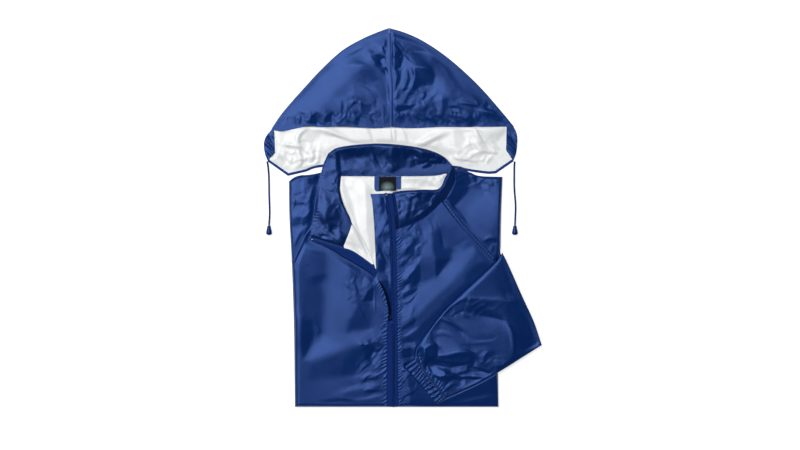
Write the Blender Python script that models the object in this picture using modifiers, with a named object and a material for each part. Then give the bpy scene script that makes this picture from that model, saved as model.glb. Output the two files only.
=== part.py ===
"""Hooded raincoat with its zip open at the chest, folded and laid flat on its back.

The garment is seen from above. X runs to the right, Y towards the hood and Z up, away
from the surface that it lies on. All tables below are in millimetres in that frame.
"""
import math

import bmesh
import bpy
import numpy as np
from mathutils import Matrix

MM = 0.001
WALL = 1.0          # thickness of a cloth wall
SEAM = 0.4          # space between two pieces that are sewn together
LIFT = 0.4          # space between two pieces that lie on each other

# Heights of the folded pile
PILE = 10.0         # hidden layers under the fronts
PILE_AT_NECK = 5.0  # the same at the shoulders
PILE_AT_ELBOW = 6.0     # the same under the fold of the sleeve
PANEL = LIFT + WALL             # top of the pieces that lie on the pile
SECOND = PANEL + LIFT + WALL    # top of what lies on those
THIRD = SECOND + LIFT + WALL
EDGE_RADIUS = 6.0   # how far from the outline a panel starts to turn down
EDGE_FOOT = 0.45    # height where a panel ends at the side, as a share of the pile

HOOD_TOP = 3.8      # outer face of the hood's upper layer
HOOD_LINING = WALL + PANEL      # top of what lies on the hood's lower layer
CORD_RADIUS = 1.9
BINDING = 4.5       # width of the bound neck edge
CASING_PITCH = 27.0     # from one pucker of the casing to the next
CASING_DEPTH = 26.0     # depth of the casing along the face edge

# Zip: the slider stands at SLIDER_X, SLIDER_Y, and its pull points a little to the right
COIL = 2.3          # half the width of the open coil
SLIDER_X, SLIDER_Y = -20.5, -214.0
SLIDER_TURN = math.radians(10)
SLIDER_SIZE = (8.5, 13.0, 3.0)
BRIDGE_HOLE = 1.3   # radius
BRIDGE_WIDTH = 2.4
BRIDGE_LENGTH = 6.4
PULL_WIDTH, PULL_LENGTH, PULL_THICK = 6.4, 22.0, 1.2
PULL_SLOT = (3.3, 4.5)
PULL_DROOP = math.radians(4)
STOP_SIZE = (3.4, 4.0, 1.8)

# Outline of the folded body, from the shoulder at the left down and round to the right
BODY_LEFT = ((-227, 72), (-226, 0), (-221, -95), (-217, -220), (-215, -379))
BODY_BOTTOM = ((-215, -379), (192, -379))
BODY_RIGHT_LOW = ((192, -379), (191, -312))
ELBOW_LOW = ((191, -312), (222, -286), (268, -255))
ELBOW_FOLD = ((268, -255), (253, -208), (233, -163), (215, -125), (203, -95), (196, -70))
BODY_RIGHT_HIGH = ((196, -70), (197, 0), (200, 81))
SHOULDERS = ((200, 81), (150, 84), (125, 93), (60, 97), (-60, 97), (-140, 93), (-180, 86), (-210, 82),
             (-227, 72))

# Seams and edges of the fronts
SEAM_RIGHT_RAGLAN = ((-221, -92), (-200, -47), (-181, -17), (-160, 25), (-140, 70), (-132, 90))
SEAM_LEFT_RAGLAN = ((81, 31), (100, 5), (120, -20), (150, -52), (186, -91))
SLEEVE_TUCK = ((186, -91), (188, -78), (196, -62))
UNDER_SLEEVE_STEP = ((191, -312), (184, -309))
UNDER_SLEEVE = ((184, -309), (184, -140), (185.5, -92))
NECK_SEAM_LEFT = ((-8, -24), (20, -15), (45, -3), (64, 13), (81, 31))
NECK_SEAM_SHOULDER = ((81, 31), (93, 48), (102, 64), (105, 76), (105, 89))
OPENING_EDGE = ((-31, -379), (-31, -250), (-30, -215), (-28, -188), (-33, -160), (-41, -140), (-50, -120),
                (-54, -104))
ROLL_LINE = ((-54, -104), (-62, -80), (-80, -45), (-104, -8))
COLLAR_ROLL = ((-104, -8), (-118, 25), (-126, 60), (-127, 84))
FLAP_LEFT = ((-52, -107), (-53, -90), (-56, -20), (-60, 30), (-64, 46))
ZIP_LEFT_COIL = ((-18, -379), (-18, -235), (-18.5, -205), (-20.5, -150), (-22, -60), (-25.5, 0), (-30, 28),
                 (-34, 48))
ZIP_LEFT_SEAM = ((-8, -379), (-10, -200), (-12, -60), (-14.5, 0), (-18, 30), (-21, 48))
TURNED_TAPE_TOP = ((-183, -41.5), (-160, -48.5), (-140, -55), (-119, -61), (-100, -67), (-80, -80),
                   (-60, -95), (-51, -106))
TURNED_TAPE_LOW = ((-184, -46), (-160, -56), (-140, -66), (-120, -79), (-100, -90), (-80, -102), (-65, -112),
                   (-56, -121))
# Where the front's turned-back inside starts below the collar, and where its tip ends
TURNED_TOP, TURNED_TIP, TURNED_LOW_TIP = -14.0, -63.0, -66.0

# Neck opening: left, right, bottom and top of the label and of the patch under it
BEHIND_COLLAR = ((-64, 46), (15, 60), (92, 74))
BACK_NECK = ((-127, 84), (-20, 88), (88, 87))
LABEL_PATCH = (-56, -3, 51.5, 81.5)
NECK_LABEL = (-47, -13, 53, 81)

# Collar
NECK_SLOPE = (88, 130)      # between these it slopes from the body down to the hood
FACING_TOP_BACK = ((96, 107), (80, 122), (50, 135), (0, 144), (-60, 147), (-125, 140), (-148, 128))
FACING_TOP_SIDE = ((-148, 128), (-160, 100), (-170, 50), (-177, 0), (-185, -39))
FACING_SEAM_BACK = ((87, 93), (60, 83), (-40, 82), (-123, 82))
FACING_SEAM_SIDE = ((-123, 82), (-125, 52), (-117, 25), (-103.5, -5), (-104, -20), (-119, -59))
COLLAR_TOP = ((-20, 50), (0, 53), (40, 55), (72, 57), (84, 80), (92, 99))
COLLAR_SEAM = ((-8, -23.5), (20, -14.5), (45, -2), (64, 14), (81, 32), (96, 52), (104, 72), (102, 96))

COLLAR_FOLDS = (
    (82, 58, 60, 34, 7, 2.0),
    (60, 34, 10, -14, 7, 2.0),
    (0, 46, 60, 48, 6, 1.2),
)

# Hood
HOOD_EDGE_LEFT = ((-262, 177), (-240, 209), (-200, 255), (-160, 298), (-120, 334), (-80, 357), (-50, 370),
                  (-27, 378.5))
HOOD_EDGE_RIGHT = ((223, 181), (200, 209), (160, 255), (120, 294), (80, 327), (40, 353), (5, 369),
                   (-27, 378.5))
HOOD_CROWN = ((-22, 180), (-22, 260), (-25, 300), (-27, 378.5))
HOOD_CHEEK_LEFT = ((-270, 112), (-276, 128), (-278, 146), (-274, 161), (-262, 177))
HOOD_CHEEK_RIGHT = ((222, 112), (228, 128), (230.5, 150), (229, 168), (223, 181))
HOOD_NECK_LEFT = ((-270, 112), (-252, 99), (-230, 83), (-195, 91), (-155, 101), (-14, 104))
HOOD_NECK_RIGHT = ((222, 112), (202, 99), (182, 87), (150, 91), (100, 101), (-14, 104))
CASING_LEFT = ((-262, 119), (-255, 130), (-256, 150), (-257, 168))
CASING_RIGHT = ((213, 121), (206, 138), (208, 160), (211, 175))

# Sleeve across the front
SLEEVE_UPPER = ((199, -70), (190, -85), (160, -113), (120, -150), (80, -190), (55, -222), (30, -255),
                (23, -281))
SLEEVE_LOWER = ((278, -255), (240, -279), (200, -304), (160, -327), (120, -346), (86, -361))
SLEEVE_FOLD = ((199, -70), (212, -97), (240, -160), (262, -208), (278, -255))
CUFF_SEAM = ((23, -281), (45, -312), (65, -338), (86, -361))
CUFF_EDGE = ((4, -296), (24, -318), (47, -345), (68, -372))
CUFF_RIBS = 14
SLEEVE_HEIGHT = 3.6

# Drawcords, from the casing's end to the stopper
CORD_LEFT = ((-272.4, 111.5), (-271, 100), (-268, 78), (-266.5, 45), (-265.5, 10), (-266.5, -16))
CORD_RIGHT = ((224.4, 111.5), (223.5, 100), (223.5, 60), (226, 25), (225.5, 0), (224.5, -16))
STOPPER_REST = 6.1  # height of the stopper's middle
# Bell stopper: distance from its top and radius
STOPPER_PROFILE = ((0, 0), (0, 3.0), (1.2, 3.7), (7, 4.2), (13, 5.4), (17.5, 5.9), (19, 5.2), (19, 0))

# Long soft folds: start x, start y, end x, end y, half-width, height
FOLDS = (
    (-128, -120, -128, -235, 26, 2.2),
    (-198, -288, -150, -252, 11, 1.6),
    (-150, -252, -70, -236, 11, 1.4),
    (-68, -290, -52, -350, 10, 1.5),
    (-180, -355, -120, -320, 13, 1.4),
    (-205, -130, -203, -230, 8, 1.4),
    (30, -185, 118, -72, 17, 2.4),
    (6, -90, 12, -160, 8, 1.3),
    (40, -70, 55, -125, 9, 1.3),
    (130, 40, 180, 20, 13, 1.7),
    (165, -44, 185, -46, 8, 1.4),
    (-212, 20, -190, 20, 7, 1.2),
    (-205, 55, -200, 0, 10, 1.2),
)
HOOD_FOLDS = (
    (-140, 295, -60, 338, 10, 1.8),
    (-45, 300, -25, 345, 9, 1.8),
    (-10, 335, 45, 318, 11, 1.6),
    (20, 300, 60, 325, 20, 2.0),
    (10, 290, 14, 250, 9, 1.5),
    (-170, 240, -120, 268, 16, 1.9),
    (-225, 195, -150, 222, 9, 1.6),
    (-110, 220, -60, 250, 16, 1.4),
    (60, 225, 150, 215, 9, 1.8),
    (150, 215, 190, 192, 8, 1.8),
    (90, 270, 140, 250, 14, 1.7),
)
SLEEVE_FOLDS = (
    (90, -195, 190, -205, 11, 2.6),
    (150, -130, 215, -160, 15, 2.4),
    (38, -272, 75, -264, 8, 2.6),
    (60, -288, 140, -275, 8, 2.4),
    (140, -278, 100, -316, 7, 2.2),
    (130, -300, 185, -312, 8, 1.8),
    (170, -240, 215, -235, 14, 2.2),
    (225, -225, 240, -260, 10, 1.8),
)


def smoothstep(t):
    t = np.clip(t, 0.0, 1.0)
    return t * t * (3.0 - 2.0 * t)


def curve(points, count):
    """A smooth curve through the points, as count points evenly spaced along it."""
    p = np.array(points, float)
    if len(p) == 2:
        return p[0] + (p[1] - p[0]) * np.linspace(0, 1, count)[:, None]
    p = np.vstack([2 * p[0] - p[1], p, 2 * p[-1] - p[-2]])
    fine = []
    for a, b, c, d in zip(p[:-3], p[1:-2], p[2:-1], p[3:]):
        for t in np.linspace(0, 1, 16, endpoint=False):
            fine.append(0.5 * (2 * b + (c - a) * t + (2 * a - 5 * b + 4 * c - d) * t ** 2
                               + (3 * b - a - 3 * c + d) * t ** 3))
    fine.append(p[-2])
    return respace(np.array(fine), count)


def respace(line, count):
    """The same line as count points evenly spaced along it."""
    run = np.concatenate([[0], np.cumsum(np.linalg.norm(np.diff(line, axis=0), axis=1))])
    at = np.linspace(0, run[-1], count)
    return np.stack([np.interp(at, run, line[:, k]) for k in range(line.shape[1])], axis=1)


def joined(*tables):
    """Smooth curves laid end to end, with a corner where two meet."""
    lines = [curve(table, 60) for table in tables]
    return np.vstack([lines[0]] + [line[1:] for line in lines[1:]])


def shifted(line, distance):
    """The line moved sideways, to the left of its direction."""
    line = np.array(line, float)
    along = np.gradient(line, axis=0)
    along /= np.linalg.norm(along, axis=1)[:, None]
    return line + distance * np.stack([-along[:, 1], along[:, 0]], axis=1)


def outline():
    """The body's outline, with its corners kept and its sides divided evenly."""
    sides = (BODY_LEFT, BODY_BOTTOM, BODY_RIGHT_LOW, ELBOW_LOW, ELBOW_FOLD, BODY_RIGHT_HIGH, SHOULDERS)
    points = []
    for side in sides:
        line = curve(side, 80)
        length = np.linalg.norm(np.diff(line, axis=0), axis=1).sum()
        points.append(respace(line, max(3, int(length / 17) + 1))[:-1])
    return np.vstack(points)


OUTLINE = outline()


def pile_top(x, y):
    """Top of the hidden layers: level under the fronts, thinner at the neck and the elbow."""
    neck = (PILE - PILE_AT_NECK) * smoothstep((y + 20) / 118)
    elbow = (PILE - PILE_AT_ELBOW) * smoothstep((x - 200) / 75) * smoothstep((-40 - y) / 40)
    return PILE - neck - elbow


def inside(x, y):
    """Distance from the body's outline, measured inwards."""
    a = OUTLINE
    b = np.roll(OUTLINE, -1, axis=0)
    p = np.stack([np.ravel(x), np.ravel(y)], axis=1)[:, None, :]
    side = (b - a)[None]
    t = np.clip(((p - a[None]) * side).sum(2) / (side ** 2).sum(2), 0, 1)
    near = np.linalg.norm(p - (a[None] + t[..., None] * side), axis=2).min(axis=1)
    return near.reshape(np.shape(x))


def folds(x, y, table):
    """Height of the soft folds in a table, each a ridge that fades out at its ends."""
    height = np.zeros(np.shape(x))
    for x0, y0, x1, y1, width, top in table:
        along = np.array([x1 - x0, y1 - y0], float)
        length = np.linalg.norm(along)
        along /= length
        s = (x - x0) * along[0] + (y - y0) * along[1]
        off = (x - x0) * -along[1] + (y - y0) * along[0]
        past = np.maximum(np.maximum(-s, s - length), 0)
        height = np.maximum(height, top * np.exp(-(off / width) ** 2 - (past / (1.2 * width)) ** 2))
    return height


def on_pile(x, y, level=PANEL, relief=()):
    """Height of a piece that lies on the pile and turns down at the outline."""
    base = pile_top(x, y)
    foot = EDGE_FOOT * base
    top = base + level
    across = np.clip(inside(x, y) / EDGE_RADIUS, 0, 1)
    turned = foot + (top - foot) * np.sqrt(np.clip(1 - (1 - across) ** 2, 0, 1))
    return turned + folds(x, y, relief) * smoothstep(across)


def on_neck(x, y, level=SECOND):
    """Height of the collar, which slopes from the pile down to the hood."""
    on_body = pile_top(x, np.minimum(y, NECK_SLOPE[0])) + level
    on_hood = HOOD_LINING + level - SECOND
    return on_body + (on_hood - on_body) * smoothstep((y - NECK_SLOPE[0]) / (NECK_SLOPE[1] - NECK_SLOPE[0]))


def steps(count, turn_start=0.0, turn_end=0.0, turns=4, radius=EDGE_RADIUS):
    """Shares from 0 to 1 along a side, closer together where an edge turns down.

    turn_start and turn_end are the side's length in millimetres where that end turns
    down, and 0 where it doesn't.
    """
    quarter = radius * (1 - np.cos(np.linspace(0, math.pi / 2, turns + 1)))
    start = quarter / turn_start if turn_start else np.array([0.0])
    end = 1 - quarter[::-1] / turn_end if turn_end else np.array([1.0])
    return np.concatenate([start, np.linspace(start[-1], end[0], count + 1)[1:-1], end])


def edge(line):
    """A side of a piece: a short table becomes a curve, a long line is only respaced."""
    return curve(line, 241) if len(line) < 40 else respace(np.array(line, float), 241)


def patch(left, right, bottom, top, across, along):
    """Points of a four-sided piece, spread between its four edges.

    left and right run up the piece, bottom and top from left to right. across holds the
    shares from left to right, or is a function that gives them for a width.
    """
    def at(line, share):
        fine = edge(line)
        k = np.linspace(0, 1, 241)
        return np.stack([np.interp(share, k, fine[:, 0]), np.interp(share, k, fine[:, 1])], axis=-1)

    l, r = at(left, along)[:, None, :], at(right, along)[:, None, :]
    if callable(across):
        across = np.array([across(width) for width in np.linalg.norm(r - l, axis=2).ravel()])
    else:
        across = np.tile(across, (len(along), 1))
    u = across[..., None]
    v = along[:, None, None]
    b, t = at(bottom, across), at(top, across)
    ends = np.array([0.0, 1.0])
    (b0, b1), (t0, t1) = at(bottom, ends), at(top, ends)
    corners = (1 - u) * (1 - v) * b0 + u * (1 - v) * b1 + (1 - u) * v * t0 + u * v * t1
    return (1 - u) * l + u * r + (1 - v) * b + v * t - corners


def ribbon(left, right, across, along):
    """Points of a strip between two edges that run the same way."""
    left, right = edge(left), edge(right)
    return patch(left, right, (left[0], right[0]), (left[-1], right[-1]), across, along)


def colour(name, rgb, roughness, metallic=0.0):
    material = bpy.data.materials.get(name)
    if material is None:
        material = bpy.data.materials.new(name)
        material.use_nodes = True
        shader = material.node_tree.nodes["Principled BSDF"]
        shader.inputs["Base Color"].default_value = (*rgb, 1.0)
        shader.inputs["Roughness"].default_value = roughness
        shader.inputs["Metallic"].default_value = metallic
    return material


def shell_blue():
    return colour("shell_blue", (0.020, 0.060, 0.220), 0.35)


def coating_white():
    return colour("coating_white", (0.72, 0.75, 0.80), 0.45)


def tape_blue():
    return colour("tape_blue", (0.010, 0.030, 0.150), 0.8)


def label_dark():
    return colour("label_dark", (0.030, 0.040, 0.055), 0.6)


def cord_blue():
    return colour("cord_blue", (0.015, 0.045, 0.200), 0.8)


def zip_metal():
    return colour("zip_metal", (0.010, 0.035, 0.160), 0.3, 0.6)


def stopper_blue():
    return colour("stopper_blue", (0.010, 0.030, 0.140), 0.4)


COAT = bpy.data.collections.new("raincoat")
CUTTERS = bpy.data.collections.new("cutters")


def grid_mesh(name, points, keep=None):
    """A mesh from rows of points, which may close on themselves; keep drops faces."""
    rows, columns = points.shape[:2]
    bm = bmesh.new()
    bmesh.ops.create_grid(bm, x_segments=columns - 1, y_segments=rows - 1, size=1)
    bm.verts.ensure_lookup_table()
    for vert, point in zip(bm.verts, points.reshape(-1, 3)):
        vert.co = point * MM
    if keep is not None:
        bm.faces.ensure_lookup_table()
        out = [face for face, kept in zip(bm.faces, keep.ravel()) if not kept]
        bmesh.ops.delete(bm, geom=out, context="FACES")
        loose = [vert for vert in bm.verts if not vert.link_faces]
        bmesh.ops.delete(bm, geom=loose, context="VERTS")
    bmesh.ops.remove_doubles(bm, verts=bm.verts, dist=0.01 * MM)
    mesh = bpy.data.meshes.new(name)
    bm.to_mesh(mesh)
    bm.free()
    return mesh


def add(name, mesh, material):
    mesh.materials.append(material)
    piece = bpy.data.objects.new(name, mesh)
    COAT.objects.link(piece)
    return piece


def cloth(name, points, material, keep=None, inner=False):
    """A cloth wall whose outer face has the points given; inner if they run the other way."""
    mesh = grid_mesh(name, points, keep)
    if inner:
        mesh.flip_normals()
    mesh.shade_smooth()
    piece = add(name, mesh, material)
    wall = piece.modifiers.new("wall", "SOLIDIFY")
    wall.thickness = WALL * MM
    wall.offset = -1
    return piece


def laid(name, plan, height, material):
    """A cloth piece over a plan, at the height that the function gives."""
    z = height(plan[..., 0], plan[..., 1])
    across = (plan[:, -1] - plan[:, 0]).mean(axis=0)
    along = (plan[-1] - plan[0]).mean(axis=0)
    mirrored = across[0] * along[1] < across[1] * along[0]
    return cloth(name, np.concatenate([plan, z[..., None]], axis=2), material, inner=mirrored)


def folded_layers():
    """All the hidden layers as one solid: flat below, with two folds showing at the side."""
    # Height as a share of the pile, and distance inside the outline
    profile = ((0, 1.6), (0.08, 0.4), (0.19, 1.6), (0.28, 0.4), (0.36, 1.8), (0.42, 2.6), (0.75, 3.6),
               (0.90, 5.4), (1.0, 9.0))
    to_next = np.roll(OUTLINE, -1, axis=0) - OUTLINE
    to_next /= np.linalg.norm(to_next, axis=1)[:, None]
    from_last = np.roll(to_next, 1, axis=0)
    inward = np.stack([-(to_next + from_last)[:, 1], (to_next + from_last)[:, 0]], axis=1)
    inward /= np.linalg.norm(inward, axis=1)[:, None]
    mitre = np.clip((inward * np.stack([-to_next[:, 1], to_next[:, 0]], axis=1)).sum(1), 0.5, 1)
    bm = bmesh.new()
    rings = []
    for share, inset in profile:
        ring = OUTLINE + inward * (inset / mitre)[:, None]
        rings.append([bm.verts.new((x * MM, y * MM, share * MM)) for x, y in ring])
    for low, high in zip(rings[:-1], rings[1:]):
        for k in range(len(low)):
            j = (k + 1) % len(low)
            bm.faces.new((low[k], low[j], high[j], high[k]))
    bm.faces.new(rings[0][::-1])
    bm.faces.new(rings[-1])
    slope_lines = [((0, y, 0), (0, 1, 0)) for y in range(-20, 98, 16)]
    slope_lines += [((x, 0, 0), (1, 0, 0)) for x in range(200, 270, 14)]
    for place, normal in slope_lines:
        geometry = bm.verts[:] + bm.edges[:] + bm.faces[:]
        bmesh.ops.bisect_plane(bm, geom=geometry, dist=1e-7, plane_co=[c * MM for c in place],
                               plane_no=normal)
    for vert in bm.verts:
        vert.co.z *= float(pile_top(np.array(vert.co.x / MM), np.array(vert.co.y / MM)))
    mesh = bpy.data.meshes.new("folded_layers")
    bm.to_mesh(mesh)
    bm.free()
    add("folded_layers", mesh, shell_blue())


def fronts():
    def height(x, y):
        return on_pile(x, y, PANEL, FOLDS)

    half = SEAM / 2
    raglan = curve(SEAM_RIGHT_RAGLAN, 60)
    raglan_foot, raglan_top = raglan[0], raglan[-1]
    side = curve(BODY_LEFT[::-1], 120)
    side = side[side[:, 1] < raglan_foot[1] - 1]
    left = np.vstack([side, shifted(raglan, -half)])
    right = shifted(joined(OPENING_EDGE, ROLL_LINE, COLLAR_ROLL), half)
    plan = patch(left, right, (left[0], right[0]), (left[-1], right[-1]),
                 lambda width: steps(8, turn_start=width), steps(22, turn_start=530))
    laid("front_right", plan, height, shell_blue())

    top = joined(shifted(curve(NECK_SEAM_LEFT, 60), -half), shifted(curve(SEAM_LEFT_RAGLAN, 60), -half))
    right = joined(BODY_RIGHT_LOW, UNDER_SLEEVE_STEP, UNDER_SLEEVE)
    right[-1] = top[-1]
    left = shifted(curve(ZIP_LEFT_SEAM, 241), -half)
    left = left[left[:, 1] < NECK_SEAM_LEFT[0][1] - 0.5]
    plan = patch(left, right, (left[0], right[0]), top, steps(11, turn_end=196), steps(17, turn_start=350))
    laid("front_left", plan, height, shell_blue())

    left = curve(BODY_LEFT[::-1], 120)
    left = left[left[:, 1] > raglan_foot[1] + 0.5]
    top = curve(SHOULDERS[::-1], 120)
    top = top[top[:, 0] < raglan_top[0] - 0.5]
    right = shifted(raglan, half)
    plan = patch(left, right, (left[0], right[0]), np.vstack([left[-1:], top[1:], right[-1:]]),
                 lambda width: steps(8, turn_start=max(width, 14)),
                 np.concatenate([[0, 0.02, 0.05], steps(9, turn_end=170)[1:]]))
    laid("sleeve_right_upper", plan, height, shell_blue())

    bottom = shifted(curve(SEAM_LEFT_RAGLAN, 60), half)
    left = shifted(curve(NECK_SEAM_SHOULDER, 60), -half)
    high = curve(BODY_RIGHT_HIGH, 120)
    right = np.vstack([bottom[-1:], curve(SLEEVE_TUCK, 30)[2:], high[high[:, 1] > SLEEVE_TUCK[-1][1] + 1]])
    top = curve(SHOULDERS[::-1], 120)
    top = top[top[:, 0] > NECK_SEAM_SHOULDER[-1][0] + 0.5]
    plan = patch(left, right, bottom, np.vstack([left[-1:], top[:-1], right[-1:]]),
                 lambda width: steps(6, turn_end=width), steps(7, turn_end=130))
    laid("sleeve_left_upper", plan, height, shell_blue())


def neck_opening():
    """What shows between the collar and the fronts: the back's inside, the flap, the label."""
    roll = shifted(joined(ROLL_LINE, COLLAR_ROLL), -SEAM)
    corner = np.array(BEHIND_COLLAR[0]) + (-SEAM, SEAM)
    flap = np.vstack([shifted(curve(FLAP_LEFT, 60), SEAM)[:-1], corner])
    behind = np.vstack([corner, shifted(curve(BEHIND_COLLAR, 60), SEAM)[1:]])
    neck = np.vstack([roll[-1:], shifted(curve(BACK_NECK, 60), -SEAM)[1:]])
    low, high = ribbon(roll, flap, steps(5), steps(12)), ribbon(neck, behind, steps(5), steps(14))
    plan = np.concatenate([low, high[1:]])
    laid("back_panel", plan, on_pile, coating_white())

    opening = curve(OPENING_EDGE, 241)
    opening = opening[(opening[:, 1] > SLIDER_Y + 10) & (opening[:, 1] < FLAP_LEFT[0][1] - 3)]
    left = np.vstack([shifted(opening, -SEAM), shifted(curve(FLAP_LEFT, 60), -SEAM / 2)])
    right = shifted(zip_coil_left(), COIL + SEAM)
    right = right[right[:, 1] > SLIDER_Y + 10]
    laid("storm_flap", ribbon(left, right, steps(3), steps(22)), on_pile, shell_blue())

    crease = curve(ROLL_LINE[::-1], 121)
    crease = crease[(crease[:, 1] < TURNED_TOP) & (crease[:, 0] < TURNED_TIP)]
    seam = shifted(curve(FACING_SEAM_SIDE, 241), 3 * SEAM)
    seam = seam[(seam[:, 1] < TURNED_TOP) & (seam[:, 1] > FACING_SEAM_SIDE[-1][1] + 1)]
    low = shifted(curve(TURNED_TAPE_TOP, 241), SEAM)
    low = low[(low[:, 0] > seam[-1, 0] + 1) & (low[:, 0] < TURNED_LOW_TIP)]
    bottom = np.vstack([crease[:1], seam[1:], low[:1]])
    plan = patch(crease, low, bottom, (crease[-1], low[-1]), steps(4), steps(8))
    laid("front_turned_back", plan, on_second, coating_white())

    x0, x1, y0, y1 = LABEL_PATCH
    corner = 5
    plan = patch(((x0 + corner, y0), (x0, y0 + corner), (x0, y1)), ((x1, y0 + corner), (x1, y1)),
                 ((x0 + corner, y0), (x1, y0 + corner)), ((x0, y1), (x1, y1)), steps(3), steps(3))
    laid("label_patch", plan, on_second, shell_blue())
    x0, x1, y0, y1 = NECK_LABEL
    plan = patch(((x0, y0), (x0, y1)), ((x1, y0), (x1, y1)), ((x0, y0), (x1, y0)), ((x0, y1), (x1, y1)),
                 steps(3), steps(2))
    laid("neck_label", plan, lambda x, y: on_pile(x, y, THIRD), label_dark())


def on_second(x, y):
    return on_pile(x, y, SECOND, FOLDS)


def collar():
    """The collar's inner facing, turned out at the left, and its outer face at the right."""
    back = ribbon(FACING_SEAM_BACK, FACING_TOP_BACK, steps(5), steps(19))
    side = ribbon(FACING_SEAM_SIDE, FACING_TOP_SIDE, steps(5), steps(13))
    laid("collar_facing", np.concatenate([back, side[1:]]), on_neck, shell_blue())

    def height(x, y):
        return on_neck(x, y) + folds(x, y, COLLAR_FOLDS)

    plan = patch(COLLAR_SEAM, COLLAR_TOP, (COLLAR_SEAM[0], COLLAR_TOP[0]), (COLLAR_SEAM[-1], COLLAR_TOP[-1]),
                 steps(6), steps(16))
    laid("collar_outer", plan, height, shell_blue())


def zip_coil_left():
    return curve(ZIP_LEFT_COIL, 241)


def zipper():
    """Tapes, top stops, slider and the pull that swings on the slider's bridge."""
    coil = zip_coil_left()
    closed = smoothstep((coil[:, 1] - SLIDER_Y) / 10)
    left = coil + np.stack([SEAM / 2 - COIL * closed, np.zeros(len(coil))], axis=1)
    left_of_coil = left
    right = shifted(curve(ZIP_LEFT_SEAM, 241), SEAM / 2)
    laid("zip_tape_left", ribbon(left, right, steps(3), steps(30, turn_start=430)), on_pile, tape_blue())

    left = shifted(curve(OPENING_EDGE, 241), -SEAM)
    left = left[left[:, 1] < SLIDER_Y + 8]
    right = np.stack([left_of_coil[:, 0] - SEAM, left_of_coil[:, 1]], axis=1)
    right = right[right[:, 1] < SLIDER_Y + 8]
    laid("zip_tape_right", ribbon(left, right, steps(3), steps(12, turn_start=170)), on_pile, tape_blue())
    plan = ribbon(TURNED_TAPE_TOP, TURNED_TAPE_LOW, steps(3), steps(16))
    laid("zip_tape_turned", plan, on_second, tape_blue())

    for name, (x, y), level, turn in (("zip_stop_left", ZIP_LEFT_COIL[-1], PANEL, 0.15),
                                      ("zip_stop_right", TURNED_TAPE_TOP[0], SECOND, -1.1)):
        x, y = x + 2.0, y - 4.0
        z = float(pile_top(np.array(x), np.array(y))) + level + LIFT + STOP_SIZE[2] / 2
        stop = block(name, STOP_SIZE, (x, y, z), zip_metal())
        stop.rotation_euler.z = turn
        bevel(stop, 0.4)

    deck = PILE + PANEL + 0.3
    hinge = deck + SLIDER_SIZE[2] + BRIDGE_HOLE
    slider = block("zip_slider", SLIDER_SIZE, (SLIDER_X, SLIDER_Y, deck + SLIDER_SIZE[2] / 2), zip_metal())
    bridge_height = 2 * BRIDGE_HOLE + 1.0
    bridge = block("bridge", (BRIDGE_WIDTH, BRIDGE_LENGTH, bridge_height + 1),
                   (SLIDER_X, SLIDER_Y, deck + SLIDER_SIZE[2] + bridge_height / 2 - 0.5), None)
    bevel(bridge, 0.9)
    hole = cylinder("bridge_hole", BRIDGE_HOLE, 3 * BRIDGE_WIDTH, (SLIDER_X, SLIDER_Y, hinge))
    for tool, operation in ((bridge, "UNION"), (hole, "DIFFERENCE")):
        tool.rotation_euler.z = SLIDER_TURN
        cut = slider.modifiers.new(operation.lower(), "BOOLEAN")
        cut.operation = operation
        cut.object = tool
    slider.rotation_euler.z = SLIDER_TURN
    zip_pull((SLIDER_X, SLIDER_Y, hinge))


def zip_pull(hinge):
    """A flat tab with a slot for the bridge, its origin on the hinge's axis."""
    half = PULL_WIDTH / 2
    bar = PULL_THICK / 2
    outer = [(-half, bar), (half, bar), (half, 1.0 - PULL_LENGTH), (half - 1.0, -PULL_LENGTH),
             (1.0 - half, -PULL_LENGTH), (-half, 1.0 - PULL_LENGTH)]
    slot = [(-PULL_SLOT[0] / 2, -bar), (-PULL_SLOT[0] / 2, -PULL_SLOT[1]),
            (PULL_SLOT[0] / 2, -PULL_SLOT[1]), (PULL_SLOT[0] / 2, -bar)]
    sheet = bpy.data.curves.new("zip_pull", "CURVE")
    sheet.dimensions = "2D"
    sheet.fill_mode = "BOTH"
    sheet.extrude = PULL_THICK / 2 * MM
    for loop in (outer, slot):
        spline = sheet.splines.new("POLY")
        spline.points.add(len(loop) - 1)
        for point, (x, y) in zip(spline.points, loop):
            point.co = (x * MM, y * MM, 0, 1)
        spline.use_cyclic_u = True
    pull = bpy.data.objects.new("zip_pull", sheet)
    COAT.objects.link(pull)
    sheet.materials.append(zip_metal())
    pull.location = [c * MM for c in hinge]
    pull.rotation_euler = (PULL_DROOP, 0, SLIDER_TURN)


def block(name, size, centre, material):
    """A box of the given size; without a material it is a cutter."""
    bm = bmesh.new()
    bmesh.ops.create_cube(bm, size=1)
    bmesh.ops.scale(bm, vec=[c * MM for c in size], verts=bm.verts)
    mesh = bpy.data.meshes.new(name)
    bm.to_mesh(mesh)
    bm.free()
    return place(name, mesh, centre, material)


def cylinder(name, radius, length, centre):
    """A cutter along X."""
    bm = bmesh.new()
    turn = Matrix.Rotation(math.radians(90), 3, "Y")
    bmesh.ops.create_cone(bm, cap_ends=True, segments=12, radius1=radius * MM, radius2=radius * MM,
                          depth=length * MM)
    bmesh.ops.rotate(bm, cent=(0, 0, 0), matrix=turn, verts=bm.verts)
    mesh = bpy.data.meshes.new(name)
    bm.to_mesh(mesh)
    bm.free()
    return place(name, mesh, centre, None)


def place(name, mesh, centre, material):
    if material:
        piece = add(name, mesh, material)
    else:
        piece = bpy.data.objects.new(name, mesh)
        CUTTERS.objects.link(piece)
        piece.hide_render = True
        piece.display_type = "WIRE"
    piece.location = [c * MM for c in centre]
    return piece


def bevel(piece, width):
    rounding = piece.modifiers.new("bevel", "BEVEL")
    rounding.width = width * MM
    rounding.segments = 2
    rounding.limit_method = "ANGLE"


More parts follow.
